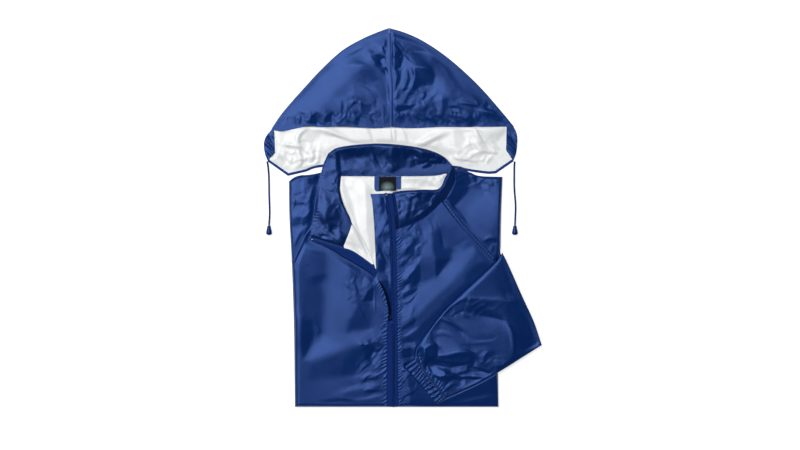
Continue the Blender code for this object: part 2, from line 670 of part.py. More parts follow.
def hood_half(name, outside, cheek, neck, side):
    """Half of the hood: an upper layer that folds over at the outline to the lower layer.

    side is 1 at the left and -1 at the right.
    """
    fold = HOOD_TOP / 2
    crown = shifted(curve(HOOD_CROWN, 241), side * SEAM / 2)
    crown[-1, 0] -= side * SEAM
    outside = curve(outside, 241)
    outside[-1] = crown[-1]
    outward = shifted(outside, side) - outside
    at_crown = smoothstep(np.linspace(-9, 1, 241))[:, None]
    outward = (1 - at_crown) * outward + at_crown * (0, 1)
    outward /= np.linalg.norm(outward, axis=1)[:, None]
    rim = outside - fold * outward
    face = (crown[0], rim[0])
    across = steps(16)
    along = np.concatenate([[0, 0.03], steps(8)[1:]])
    upper = patch(crown, rim, face, (crown[-1] - (0, fold), rim[-1]), across, along)
    room = np.linalg.norm(upper - upper[:, -1:], axis=2)
    relief = folds(upper[..., 0], upper[..., 1], HOOD_FOLDS) + casing(upper[..., 0], upper[..., 1])
    upper_z = HOOD_TOP + relief * smoothstep(room / 14)

    rim_out = np.stack([np.interp(along, np.linspace(0, 1, 241), outward[:, k]) for k in (0, 1)], axis=1)
    turn = []
    for angle in (45, 0, -45):
        reach = fold * math.cos(math.radians(angle))
        z = np.full((len(along), 1), fold * (1 + math.sin(math.radians(angle))))
        turn.append(np.concatenate([upper[:, -1] + reach * rim_out, z], axis=1)[:, None])

    lower_across = steps(5)[::-1]
    lower = patch(crown, rim, face, (crown[-1] - (0, fold), rim[-1]), lower_across, along)
    sheet = np.concatenate([np.concatenate([upper, upper_z[..., None]], axis=2), *turn, flat(lower)], axis=1)

    cheek = curve(cheek, 120)
    cheek = cheek - fold * (shifted(cheek, side) - cheek)
    neck_line = np.array([(HOOD_NECK_LEFT[-1][0] - side * SEAM / 2, HOOD_NECK_LEFT[-1][1]), crown[0]])
    bottom = curve(neck[::-1], 120)
    bottom[0, 0] -= side * SEAM / 2
    bottom[-1] = cheek[0]
    below = patch(neck_line, np.vstack([cheek[:-1], rim[:1]]), bottom, face, lower_across, steps(4)[:-1])
    hidden = np.repeat(sheet[:1, :len(across) + 3], len(below), axis=0)
    points = np.concatenate([np.concatenate([hidden, flat(below)], axis=1), sheet], axis=0)
    keep = np.ones((points.shape[0] - 1, points.shape[1] - 1), bool)
    keep[:len(below), :len(across) + 3] = False
    cloth(name, points, shell_blue(), keep, inner=side > 0)


def flat(plan):
    return np.concatenate([plan, np.zeros(plan.shape[:2] + (1,))], axis=2)


def casing(x, y):
    """The gathered casing along the face edge, as puckers that die out above it."""
    up = y - HOOD_CROWN[0][1]
    wave = np.cos(2 * math.pi * x / CASING_PITCH) + 0.5 * np.cos(2 * math.pi * x / (1.7 * CASING_PITCH) + 1)
    return 0.55 * (1 + wave) * np.exp(-(up / CASING_DEPTH) ** 2)


def hood():
    hood_half("hood_left", HOOD_EDGE_LEFT, HOOD_CHEEK_LEFT, HOOD_NECK_LEFT, 1)
    hood_half("hood_right", HOOD_EDGE_RIGHT, HOOD_CHEEK_RIGHT, HOOD_NECK_RIGHT, -1)
    for side, cheek, inner, neck, name in ((1, HOOD_CHEEK_LEFT, CASING_LEFT, HOOD_NECK_LEFT, "left"),
                                           (-1, HOOD_CHEEK_RIGHT, CASING_RIGHT, HOOD_NECK_RIGHT, "right")):
        outer = shifted(curve(cheek, 120), -side * 0.8)
        outer = outer[(outer[:, 1] > 122) & (outer[:, 1] < 168)]
        laid(f"hood_casing_{name}", ribbon(outer, inner, steps(3), steps(8)), lining, shell_blue())
        line = curve(neck, 241)
        line = line[abs(line[:, 0]) > 110]
        low, high = shifted(line, side * 0.3), shifted(line, side * (0.3 + BINDING))
        laid(f"hood_binding_{name}", ribbon(low, high, steps(2), steps(14)), lining, tape_blue())


def lining(x, y):
    return np.full(np.shape(x), HOOD_LINING)


def tube_ring(upper, lower, width, height):
    """Shares across and heights round a flattened tube, from one side over the top and back."""
    around = []
    for shares, sign in ((upper, 1), (lower[::-1], -1)):
        depth = np.clip(np.minimum(shares, 1 - shares) * width / (height / 2), 0, 1)
        around.append(np.stack([shares, sign * np.sqrt(1 - (1 - depth) ** 2)], axis=1))
    return np.vstack([around[0], around[1][1:]])


def tube(name, edges, ring, along, closing, rib=0.0):
    """A flattened tube over a plan; closing is how far it rounds off at its start."""
    left, right, bottom, top = edges
    plan = patch(left, right, bottom, top, ring[:, 0], along)
    x, y = plan[..., 0], plan[..., 1]
    start = np.linalg.norm(plan - plan[:1], axis=2)
    full = np.sqrt(1 - (1 - np.clip(start / closing, 0, 1)) ** 2) if closing else np.ones(x.shape)
    half = SLEEVE_HEIGHT / 2
    z = pile_top(x, y) + PANEL + LIFT + half * (1 + ring[:, 1] * full)
    on_top = np.clip(ring[:, 1], 0, 1) ** 2 * full
    z = z + folds(x, y, SLEEVE_FOLDS) * on_top
    z = z + rib * (1 - np.cos(2 * math.pi * CUFF_RIBS * ring[:, 0])) / 2 * on_top
    cloth(name, np.concatenate([plan, z[..., None]], axis=2), shell_blue())


def sleeve():
    """The left sleeve's lower half, folded over the front, and its gathered cuff."""
    across = steps(9, 150, 150, 2, 1.8)
    ring = tube_ring(across, across, 150, SLEEVE_HEIGHT)
    seam = curve(CUFF_SEAM[::-1], 60)
    edges = (SLEEVE_LOWER, SLEEVE_UPPER, SLEEVE_FOLD[::-1], seam)
    tube("sleeve_left_folded", edges, ring, steps(11, turn_start=250, turns=2, radius=1.8), 1.8)
    ring = tube_ring(steps(3 * CUFF_RIBS), steps(10), 105, SLEEVE_HEIGHT)
    start = shifted(seam, SEAM)
    end = curve(CUFF_EDGE[::-1], 60)
    edges = ((start[0], end[0]), (start[-1], end[-1]), start, end)
    tube("cuff_left", edges, ring, steps(2), 0, rib=1.6)


def drawcords():
    for name, route in (("left", CORD_LEFT), ("right", CORD_RIGHT)):
        cord = bpy.data.curves.new(f"drawcord_{name}", "CURVE")
        cord.dimensions = "3D"
        cord.bevel_depth = CORD_RADIUS * MM
        cord.bevel_resolution = 2
        cord.use_fill_caps = True
        line = curve(route, 15)
        spline = cord.splines.new("POLY")
        spline.points.add(len(line) - 1)
        for point, (x, y) in zip(spline.points, line):
            point.co = (x * MM, y * MM, CORD_RADIUS * MM, 1)
        cord.materials.append(cord_blue())
        COAT.objects.link(bpy.data.objects.new(f"drawcord_{name}", cord))
        stopper(f"cord_stopper_{name}", route[-1])


def stopper(name, end):
    """A bell stopper on the cord's end, turned about its own length and lying on its side."""
    bm = bmesh.new()
    verts = [bm.verts.new((radius * MM, 0, -along * MM)) for along, radius in STOPPER_PROFILE]
    for a, b in zip(verts[:-1], verts[1:]):
        bm.edges.new((a, b))
    mesh = bpy.data.meshes.new(name)
    bm.to_mesh(mesh)
    bm.free()
    mesh.shade_smooth()
    bell = place(name, mesh, (end[0], end[1] - 0.3, STOPPER_REST), stopper_blue())
    turn = bell.modifiers.new("turn", "SCREW")
    turn.steps = turn.render_steps = 12
    turn.use_merge_vertices = True
    turn.merge_threshold = 0.0001
    bell.rotation_euler.x = -math.pi / 2


def build():
    for leftover in list(bpy.data.objects):
        bpy.data.objects.remove(leftover)
    for collection in (COAT, CUTTERS):
        bpy.context.scene.collection.children.link(collection)
    folded_layers()
    fronts()
    neck_opening()
    collar()
    zipper()
    hood()
    sleeve()
    drawcords()


build()
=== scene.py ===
"""Looks of a hooded nylon raincoat that lies folded on a pale floor.

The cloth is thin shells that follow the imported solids. Tables are in millimetres in the
frame's own axes: X to the right, Y towards the hood and Z up from the floor.
"""
import math

import bmesh
import bpy
import numpy as np
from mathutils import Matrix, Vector


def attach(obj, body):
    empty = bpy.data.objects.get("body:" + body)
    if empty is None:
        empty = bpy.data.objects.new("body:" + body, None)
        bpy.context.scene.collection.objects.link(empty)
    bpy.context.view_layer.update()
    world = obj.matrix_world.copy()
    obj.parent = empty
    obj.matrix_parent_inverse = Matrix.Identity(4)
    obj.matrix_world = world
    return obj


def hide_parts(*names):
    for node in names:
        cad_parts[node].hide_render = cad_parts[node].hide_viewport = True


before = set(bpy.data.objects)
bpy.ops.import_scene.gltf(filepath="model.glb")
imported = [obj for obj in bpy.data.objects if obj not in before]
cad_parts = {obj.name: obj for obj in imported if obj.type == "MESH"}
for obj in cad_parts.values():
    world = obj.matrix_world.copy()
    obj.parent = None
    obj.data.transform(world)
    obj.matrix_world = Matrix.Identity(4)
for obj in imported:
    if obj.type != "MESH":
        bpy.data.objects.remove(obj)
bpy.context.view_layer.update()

MM = 0.001
SPACING = 1.6       # between the points of a shell
HOOD_SPACING = 1.8
LINING_SPACING = 2.2
CLOTH = 0.45        # thickness of the shells

# Levels of the solids that the shells follow
WALL = 1.0
SEAM = 0.4          # gap between pieces side by side
LIFT = 0.4          # gap between layers
PILE, PILE_AT_NECK, PILE_AT_ELBOW = 10.0, 5.0, 6.0
PANEL = LIFT + WALL
SECOND = PANEL + LIFT + WALL
THIRD = SECOND + LIFT + WALL
EDGE_RADIUS = 5.0   # with which a panel turns down at the outline
EDGE_FOOT = 0.45    # share of the pile's height at which it ends there
HOOD_TOP = 3.8
HOOD_LOFT = 5.0     # how far the hood's upper layer bellies up
HOOD_LINING = WALL + PANEL
SLEEVE_HEIGHT = 3.6
LOFT = 2.0          # how far a panel stands off what it lies on
SLEEVE_LOFT = 1.5

# Outline of the folded body
BODY_LEFT = ((-227, 72), (-226, 0), (-221, -95), (-217, -220), (-215, -379))
BODY_BOTTOM = ((-215, -379), (192, -379))
BODY_RIGHT_LOW = ((192, -379), (191, -312))
ELBOW_LOW = ((191, -312), (222, -286), (268, -255))
ELBOW_FOLD = ((268, -255), (253, -208), (233, -163), (215, -125), (203, -95), (196, -70))
BODY_RIGHT_HIGH = ((196, -70), (197, 0), (200, 81))
SHOULDERS = ((200, 81), (155, 82.5), (135, 89.5), (110, 97.5), (60, 97), (-60, 97), (-140, 93), (-180, 86),
             (-210, 82), (-227, 72))

# Seams and edges of the fronts
SEAM_RIGHT_RAGLAN = ((-221, -92), (-200, -47), (-181, -17), (-160, 25), (-140, 70), (-132, 90))
SEAM_LEFT_RAGLAN = ((81, 31), (100, 5), (120, -20), (150, -52), (186, -91))
SLEEVE_TUCK = ((186, -91), (188, -78), (196, -62))
UNDER_SLEEVE_STEP = ((191, -312), (184, -309))
UNDER_SLEEVE = ((184, -309), (184, -140), (185.5, -92))
NECK_SEAM_LEFT = ((-8, -24), (20, -15), (45, -3), (64, 13), (81, 31))
NECK_SEAM_SHOULDER = ((81, 31), (93, 48), (102, 64), (105, 76), (105, 89))
OPENING_EDGE = ((-31, -379), (-31, -250), (-30, -215), (-28, -188), (-33, -160), (-41, -140), (-50, -120),
                (-54, -104))
ROLL_LINE = ((-54, -104), (-62, -80), (-80, -45), (-104, -8))
COLLAR_ROLL = ((-104, -8), (-118, 25), (-126, 60), (-127, 84))
FLAP_LEFT = ((-52, -107), (-53, -90), (-56, -20), (-60, 30), (-64, 46))
ZIP_LEFT_COIL = ((-18, -379), (-18, -235), (-18.5, -205), (-20.5, -150), (-22, -60), (-25.5, 0), (-30, 28),
                 (-34, 48))
ZIP_LEFT_SEAM = ((-8, -379), (-10, -200), (-12, -60), (-14.5, 0), (-18, 30), (-21, 48))
TURNED_TAPE_TOP = ((-183, -41.5), (-160, -48.5), (-140, -55), (-119, -61), (-100, -67), (-80, -80),
                   (-60, -95), (-51, -106))
TURNED_TAPE_LOW = ((-184, -46), (-160, -56), (-140, -66), (-120, -79), (-100, -90), (-80, -102), (-65, -112),
                   (-56, -121))
# Where the turned front ends: its top in Y, and the X of its tips at the crease and at the tape
TURNED_TOP, TURNED_TIP, TURNED_LOW_TIP = -14.0, -57.0, -60.0

# Neck opening and label: left, right, bottom and top
BEHIND_COLLAR = ((-64, 46), (15, 49), (70, 51), (96, 70))
BACK_NECK = ((-127, 84), (-20, 88), (88, 87))
LABEL_PATCH = (-56, -3, 51.5, 81.5)
NECK_LABEL = (-47, -13, 53, 81)

# Collar
NECK_SLOPE = (88, 130)
COLLAR_RISE = 6.0
COLLAR_ROLLED = (7.0, 15.0)   # height, and how far from the seam it is mostly reached
FACING_TOP_BACK = ((99, 104), (82, 121), (50, 135), (0, 144), (-60, 147), (-125, 140), (-148, 128))
FACING_TOP_SIDE = ((-148, 128), (-160, 100), (-170, 50), (-177, 0), (-185, -39))
FACING_SEAM_BACK = ((91, 91), (62, 83), (-40, 82), (-123, 82))
FACING_SEAM_SIDE = ((-123, 82), (-125, 52), (-117, 25), (-103.5, -5), (-104, -20), (-119, -59))
COLLAR_TOP = ((-20, 50), (0, 53), (40, 55), (72, 57), (85, 80), (97, 102))
COLLAR_SEAM = ((-8, -23.5), (20, -14.5), (45, -2), (64, 14), (81, 32), (96, 52), (105, 72), (106, 98))

# Hood
HOOD_EDGE_LEFT = ((-262, 177), (-240, 209), (-200, 255), (-160, 298), (-120, 334), (-80, 357), (-50, 370),
                  (-27, 378.5))
HOOD_EDGE_RIGHT = ((223, 181), (200, 209), (160, 255), (120, 294), (80, 327), (40, 353), (5, 369),
                   (-27, 378.5))
HOOD_CROWN = ((-22, 180), (-22, 260), (-25, 300), (-27, 378.5))
HOOD_CHEEK_LEFT = ((-270, 112), (-276, 128), (-278, 146), (-274, 161), (-262, 177))
HOOD_CHEEK_RIGHT = ((222, 112), (228, 128), (230.5, 150), (229, 168), (223, 181))
HOOD_NECK_LEFT = (((-270, 112), (-229, 83)), ((-229, 83), (-195, 91), (-155, 101), (-14, 104)))
HOOD_NECK_RIGHT = (((222, 112), (203, 99), (187, 88)),
                   ((187, 88), (172, 87), (150, 89.5), (125, 93.5), (100, 98.5), (-14, 104)))
FACE_EDGE_LEFT = ((-22, 180), (-60, 178), (-120, 181), (-160, 180), (-190, 181.5), (-218, 176), (-242, 171.5),
                  (-260, 175))
FACE_EDGE_RIGHT = ((-22, 180), (20, 178), (80, 180.5), (140, 180), (200, 181), (221, 180))
CASING_LEFT = (((-269.5, 113), (-255, 129)), ((-255, 129), (-257, 177)))
CASING_RIGHT = (((221.5, 113), (207, 134)), ((207, 134), (208, 183)))
BINDING = 4.5       # its width

# Sleeve across the front
SLEEVE_UPPER = ((199, -70), (190, -85), (160, -113), (120, -150), (80, -190), (55, -222), (30, -255),
                (23, -281))
SLEEVE_LOWER = ((278, -255), (240, -279), (200, -304), (160, -327), (120, -346), (86, -361))
SLEEVE_FOLD = ((199, -70), (212, -97), (240, -160), (262, -208), (278, -255))
CUFF_SEAM = ((23, -281), (45, -312), (65, -338), (86, -361))
CUFF_EDGE = ((4, -296), (24, -318), (47, -345), (68, -372))
CUFF_RIBS = 13
RIB = 3.2    # height of the cuff's ribs
SLEEVE_COVER_MARGIN = 3.5    # how far inside the sleeve's outline its cover is drawn

# Drawcords
CORD_RADIUS = 1.9
CORD_LEFT = ((-270.6, 111.5), (-268.6, 100), (-267, 78), (-266.5, 45), (-265.5, 10), (-266.5, -16))
CORD_RIGHT = ((224.4, 111.5), (223.5, 100), (223.5, 60), (226, 25), (225.5, 0), (224.5, -16))
STOPPER_REST = 6.1  # height of its middle line over the floor
# Length from the cord's end, and radius there
STOPPER_PROFILE = ((0.4, 0.0), (0.1, 2.0), (0.0, 2.4), (0.4, 2.9), (1.2, 3.2), (4, 3.8), (8, 4.7),
                   (11.5, 5.6), (14, 6.0), (16, 5.95), (17.6, 5.3), (18.7, 4.1), (19.3, 2.4), (19.5, 0.0))

# Zip
COIL = 2.3          # how far the left tape reaches beyond its coil's line where the zip is open
COIL_PITCH = 1.45
COIL_BAR_LENGTH, COIL_BAR_RADIUS = 2.9, 0.55
SLIDER_Y = -214.0

# Cells in which the slopes of folded cloth are laid out, and what holds the folds flat
RASTER_CELL = 1.5
RASTER_REACH = (320, 420)
LONGEST_SWELL = 220.0
CROSS_STIFFNESS = 0.10
CREASE_SHARPNESS = 14.0
EASE = 0.35               # over how much height a fold is eased off at its lowest
FADE, TIGHT_FADE = 14.0, 5.0    # how far from a cover the folds come back

# Sewing
FELL = 7.0                # width of a felled seam
THREAD_RADIUS = 0.26
# A small rounded bar: share of its length, and share of its radius there
BAR_PROFILE = ((-0.5, 0.0), (-0.47, 0.6), (-0.38, 1.0), (0.38, 1.0), (0.47, 0.6), (0.5, 0.0))
STITCH_PITCH = 3.2
STITCH_LENGTH = 2.4
# Rows: name, what they lie on, how far above it, how far left of the route, the route
SEWN_ROWS = (
    ("raglan_right_high", "front_right", 0.6, -1.0, SEAM_RIGHT_RAGLAN),
    ("raglan_right_low", "front_right", 0.5, 2.4 - FELL, SEAM_RIGHT_RAGLAN),
    ("raglan_left_high", "front_left", 0.6, 1.0, SEAM_LEFT_RAGLAN[:-1]),
    ("raglan_left_low", "front_left", 0.5, FELL - 2.4, SEAM_LEFT_RAGLAN[:-1]),
    ("opening", "front_right", 0.15, 0, ((-55.6, -187), (-55.6, -128))),
    ("zip_left_of", "front_right", 0.15, 2.2, ((-31, -374), (-31, -250), (-30, -219))),
    ("zip_right_of", "front_left", 0.15, -2.2, ((-8, -374), (-10, -200), (-12, -60), (-14, -26))),
    ("tape_left", "level", 0.15, -1.4, ((-8, -374), (-10, -200), (-12, -60), (-14.5, 0), (-18, 30))),
    ("tape_turned", "turned", 0.15, -1.6, TURNED_TAPE_TOP),
    ("facing_top", "facing", 0.15, 2.4, FACING_TOP_BACK),
    ("facing_side", "facing", 0.15, 2.4, FACING_TOP_SIDE),
    ("facing_neck", "facing", 0.15, -2.2, FACING_SEAM_BACK),
    ("collar_top", "collar", 0.15, -2.2, COLLAR_TOP),
    ("collar_seam", "collar", 0.15, 2.2, COLLAR_SEAM),
    ("label_high", "label", 0.1, -1.5, ((-47, 81), (-13, 81))),
    ("label_low", "label", 0.1, 1.5, ((-47, 53), (-13, 53))),
    ("patch_left", "patch", 0.1, -2.0, ((-56, 57), (-56, 81))),
    ("patch_right", "patch", 0.1, 2.0, ((-3, 57), (-3, 81))),
)

# Looks and light, with places and sizes in metres
GLOSS_TINT = (0.21, 0.37, 1.0, 1.0)
WAVE_LENGTH = 0.314       # between the bands of a wave texture of scale 1
CAMERA_AT, LENS, SENSOR = (-0.005, -0.0155, 4.0), 90.0, 36.0
SOFTBOX_AT, SOFTBOX_SIZE, SOFTBOX_POWER = (-1.76, 1.57, 4.95), 4.4, 372.0
SKY_COLOUR = (0.75, 0.86, 1.0, 1.0)
# The sky is brighter at its foot than overhead: its strengths, and between which heights they change
SKY_STRENGTH, SKY_BETWEEN = (0.45, 0.05), (0.25, 0.6)

# Points on a route that is drawn finely, less finely or coarsely, and on an edge of a patch
FINE, MEDIUM, COARSE = 241, 120, 60
EDGE_POINTS = 481

# Relief tables
# Zones are planes of folded cloth: slope, softness of the edge, then the corners.
# Strokes are long narrow planes: slope, width, then the route's points.
# A positive slope faces the key light, a negative one turns away from it.
# Crushed cloth: x, y, reach along X, reach along Y, turn, facet size, stretch, slope, seed.
# Puckers: pitch, reach, height, lean, side (1 left, -1 right, 0 both), then the route's points.
PLAIN = {"zones": (), "strokes": (), "crushed": (), "puckers": ()}

RIGHT_FRONT_MARKS = {
    "zones": (
        (0.16, 4, -222, -80, -208, -76, -206, -200, -206, -375, -214, -375, -218, -200),
        (-0.11, 26, -204, -70, -160, -76, -150, -90, -150, -120, -160, -130, -156, -170, -160, -230,
         -178, -250, -196, -278, -204, -250, -204, -150),
        (-0.09, 10, -184, -118, -150, -114, -154, -130, -178, -134),
        (-0.18, 10, -201, -200, -181, -208, -176, -236, -186, -262, -197, -278, -203, -250),
        (-0.14, 4, -166, -216, -158, -230, -172, -240),
        (0.11, 28, -150, -66, -106, -84, -108, -120, -96, -170, -104, -200, -112, -226, -60, -224, -42, -236,
         -56, -250, -120, -262, -180, -284, -192, -280, -160, -236, -152, -170, -148, -120),
        (-0.05, 16, -104, -104, -84, -104, -92, -130, -86, -168, -100, -176, -106, -140),
        (-0.10, 16, -90, -168, -72, -172, -60, -190, -62, -218, -84, -224, -108, -226, -106, -204, -94, -190),
        (-0.32, 3, -79, -166, -60, -167, -57, -138, -68, -146),
        (0.09, 4, -82, -142, -66, -130, -62, -112, -76, -116),
        (-0.32, 3, -83, -254, -60, -252, -54, -262, -68, -289, -76, -276),
        (-0.16, 3, -60, -249, -44, -250, -40, -258, -56, -258),
        (-0.10, 22, -190, -290, -120, -266, -84, -258, -80, -290, -90, -310, -120, -316, -140, -322,
         -180, -320),
        (-0.10, 12, -118, -284, -96, -276, -90, -296, -98, -314, -120, -314),
    ),
    "strokes": (
        (0.14, 7, -90, -319, -64, -312, -40, -304),
        (0.12, 10, -132, -350, -90, -338, -40, -332),
        (0.11, 6, -100, -364, -60, -358, -36, -352),
        (-0.18, 4, -84, -327, -60, -322, -42, -320),
        (-0.16, 4, -80, -350, -60, -346, -40, -346),
        (-0.12, 6, -164, -366, -120, -364, -90, -368),
        (0.10, 4, -104, -116, -98, -150, -92, -176),
        (-0.10, 3, -98, -118, -90, -146, -86, -164),
        (-0.10, 4, -186, -66, -172, -72, -158, -74),
        (0.12, 3, -100, -172, -86, -186, -78, -200),
        (-0.12, 3, -92, -174, -80, -190, -74, -204),
        (0.20, 3, -70, -286, -62, -276, -50, -262),
        (0.16, 3, -62, -296, -50, -280, -42, -266),
        (-0.18, 3, -64, -290, -54, -276, -44, -262),
        (0.22, 2, -56.5, -126, -56.5, -188),
        (-0.22, 2, -54, -126, -54, -188),
    ),
    "crushed": (
        (-88, -140, 26, 46, 80, 9, 2.2, 0.035, 2),
        (-62, -290, 26, 60, 40, 12, 2.2, 0.06, 3),
    ),
    "puckers": (
        (8.0, 8.0, 0.9, 0.55, 1, -31, -379, -31, -250, -30, -215),
        (7.0, 6.0, 0.8, 0.6, 1, -30, -215, -29, -188, -33, -160, -41, -140, -50, -122),
    ),
}

LEFT_FRONT_MARKS = {
    "zones": (
        (0.13, 16, -6, -168, 30, -136, 60, -122, 100, -84, 116, -66, 142, -56, 146, -70, 128, -92, 100, -128,
         60, -164, 30, -196, 0, -208),
        (0.08, 16, 30, -50, 48, -20, 64, -6, 62, -40, 58, -80, 40, -78),
        (-0.13, 10, 58, -30, 74, -20, 84, -40, 84, -60, 100, -66, 96, -84, 80, -104, 68, -118, 66, -84,
         60, -60),
        (-0.16, 3, 66, -84, 93, -84, 80, -104, 68, -119),
        (0.20, 4, -4, -118, 8, -104, 20, -86, 34, -78, 36, -84, 26, -98, 12, -118, 0, -130),
        (-0.22, 4, 14, -118, 26, -104, 34, -92, 36, -124, 26, -138, 10, -132),
        (-0.11, 14, -6, -246, 10, -232, 50, -206, 92, -160, 124, -130, 128, -112, 150, -92, 180, -84,
         186, -92, 160, -112, 120, -150, 80, -190, 50, -228, 28, -254, 8, -262),
        (0.20, 3, 2, -250, 26, -249, 26, -259, 4, -260),
        (-0.32, 3, -2, -262, 16, -262, 18, -278, 2, -280),
        (0.08, 14, 100, -60, 130, -46, 112, -74, 96, -78),
        (-0.17, 8, 8, -292, 80, -366, 186, -314, 190, -378, 14, -378),
    ),
    "strokes": (
        (0.22, 7, -1, -68, 8, -52, 20, -36),
        (-0.22, 8, 4, -80, 18, -60, 27, -44),
        (0.24, 3, 6, -27, 20, -32, 32, -44),
        (-0.28, 3, 6, -32, 18, -38, 30, -52),
        (0.26, 6, -2, -152, 16, -138),
        (-0.30, 6, 2, -161, 22, -148, 29, -140),
        (-0.28, 5, 2, -137, 14, -128),
        (0.12, 3, 80, -30, 84, -58),
        (-0.14, 3, 74, -30, 78, -62),
        (-0.24, 6, -2, -224, 24, -206),
        (0.22, 5, 2, -238, 32, -219),
        (0.12, 9, 2, -322, 12, -350, 18, -374),
        (0.12, 7, 96, -371, 140, -362, 186, -352),
        (0.10, 3, 64, 4, 74, -12, 78, -28),
        (-0.14, 3, 52, -4, 60, -18, 60, -34),
        (0.14, 4, 36, -14, 44, -26, 46, -42),
        (-0.16, 3, 22, -20, 34, -26, 38, -40),
        (0.16, 4, -4, -90, 4, -78),
        (-0.20, 5, -4, -100, 10, -86, 20, -72),
    ),
    "crushed": (
        (20, -50, 24, 46, 60, 11, 2.2, 0.07, 12),
        (10, -150, 16, 80, 50, 12, 2.2, 0.06, 13),
        (14, -330, 20, 60, 50, 12, 2.2, 0.06, 15),
    ),
    "puckers": (
        (6.2, 6.0, 1.6, -0.8, -1, -8, -379, -10, -200, -12, -60, -14, -24),
    ),
}

RIGHT_SHOULDER_MARKS = {
    "zones": (
        (-0.25, 4, -190, 80, -166, 84, -160, 70, -176, 63, -188, 68),
        (0.09, 5, -224, 70, -196, 72, -200, 50, -222, 46),
        (-0.10, 5, -208, 50, -190, 60, -176, 50, -182, 34, -200, 36),
        (0.13, 4, -224, 18, -190, 20, -182, 8, -196, 1, -222, 6),
        (-0.10, 4, -218, -2, -190, 2, -180, -12, -196, -19, -216, -12),
        (0.12, 5, -222, -20, -200, -22, -206, -48, -219, -78),
        (-0.16, 4, -182, 44, -168, 44, -174, 6, -184, 6),
    ),
    "strokes": (
        (0.16, 3, -225, 22, -205, 20, -184, 19),
        (-0.16, 3, -222, 28, -200, 27, -180, 30),
        (0.10, 3, -212, 62, -198, 54, -184, 52),
        (-0.20, 3, -190, -34, -180, -24, -172, -14),
    ),
    "crushed": (
        (-195, 10, 34, 80, 80, 20, 1.5, 0.06, 21),
        (-172, 20, 12, 60, 80, 9, 1.4, 0.16, 22),
    ),
    "puckers": (),
}

LEFT_SHOULDER_MARKS = {
    "zones": (
        (-0.30, 5, 104, 96, 130, 92, 138, 70, 134, 46, 120, 36, 100, 20, 84, 30, 98, 50, 106, 70),
        (-0.12, 5, 138, 88, 150, 84, 150, 60, 143, 40, 138, 60),
        (-0.10, 4, 150, 62, 165, 52, 160, 42, 148, 50),
        (0.07, 20, 128, 20, 146, 50, 166, 60, 186, 66, 190, 40, 186, 0, 176, -40, 150, -44, 138, -40,
         128, -10),
        (-0.06, 5, 160, -56, 188, -56, 190, -78, 170, -74),
    ),
    "strokes": (
        (-0.16, 5, 152, 66, 166, 70, 174, 64),
        (-0.22, 3, 111, 12, 119, 3, 127, -3),
        (0.14, 3, 114, 4, 124, -8),
        (-0.36, 4, 160, -54, 170, -46, 183, -45, 194, -54),
        (0.14, 4, 162, -44, 174, -37, 188, -41),
        (0.10, 4, 156, 76, 174, 76, 190, 78),
    ),
    "crushed": (
        (150, 70, 46, 20, 0, 14, 1.5, 0.08, 31),
        (172, -66, 24, 20, 30, 12, 1.4, 0.08, 33),
    ),
    "puckers": (),
}

WHITE_BACK_MARKS = {
    "zones": (
        (-0.34, 8, -74, 60, -58, 56, -52, -60, -62, -80, -72, -20),
        (0.16, 10, -96, 70, -76, 66, -74, -20, -84, -30, -92, 10),
        (-0.34, 8, -126, 62, -112, 66, -96, 10, -84, -34, -96, -20, -112, 20),
        (-0.44, 6, 4, 84, 38, 82, 66, 62, 44, 58, 14, 72),
        (0.20, 5, 0, 68, 12, 66, 30, 60, 10, 56),
        (-0.44, 5, -128, 88, -114, 84, -118, 62, -128, 58),
        (0.30, 4, -112, 82, -98, 78, -104, 62, -114, 64),
    ),
    "strokes": (
        (-0.34, 3, -76, 68, -68, 60, -60, 51),
        (0.20, 3, -96, 62, -84, 60, -74, 64),
        (-0.40, 2.5, -127, 76, -120, 72),
        (0.34, 2.5, -126, 70, -119, 65),
        (-0.36, 2.5, -125, 62, -119, 58),
        (-0.40, 2.5, 60, 84, 66, 74, 74, 64),
        (0.36, 2.5, 64, 86, 70, 76, 78, 66),
        (-0.40, 2.5, 68, 88, 75, 78, 81, 68),
        (0.36, 2.5, 73, 89, 79, 80, 84, 71),
        (-0.36, 2.5, 48, 82, 54, 76),
        (-0.30, 4, -98, -6, -82, -38, -66, -68),
        (-0.14, 5, -112, 30, -104, 10, -98, -6),
    ),
    "crushed": (
        (-90, 20, 40, 90, 85, 26, 1.7, 0.03, 41),
        (50, 76, 50, 14, 60, 9, 1.6, 0.1, 42),
    ),
    "puckers": (),
}

TURNED_FRONT_MARKS = {
    "zones": ((-0.24, 6, -112, -40, -96, -30, -80, -62, -100, -62),),
    "strokes": (
        (-0.80, 5, -103, -10, -86, -42, -70, -74),
        (0.40, 4, -110, -26, -94, -46, -78, -72),
        (-0.50, 4, -114, -50, -100, -53, -86, -66),
        (0.30, 3, -116, -56, -104, -60, -92, -70),
    ),
    "crushed": (), "puckers": (),
}

FLAP_MARKS = {
    "zones": (
        (-0.26, 3, -46, 34, -38, 40, -30, 20, -26, 4, -36, 12, -46, 24),
        (0.15, 4, -53, 10, -38, 0, -28, -20, -34, -28, -52, -12),
        (-0.24, 3, -48, -80, -36, -90, -34, -112, -47, -104),
        (0.14, 3, -29, -116, -24, -108, -22, -140, -27, -134),
        (-0.24, 4, -44, -126, -30, -128, -21, -152, -19, -208, -30, -208, -34, -160),
    ),
    "strokes": (
        (0.12, 7, -57, 40, -53, 10, -51, -20, -50, -56),
        (-0.32, 6, -50, -58, -40, -76, -30, -98),
        (0.22, 4, -43, -56, -34, -72, -26, -88),
        (-0.16, 3, -44, -20, -34, -36, -26, -50),
        (0.14, 3, -34, -96, -28, -106, -24, -100),
    ),
    "crushed": ((-40, -30, 20, 80, 88, 12, 2.2, 0.08, 51),),
    "puckers": ((6.0, 4.0, 0.4, 0.3, 1, -26, -190, -24, -100, -26, -20, -34, 30),),
}

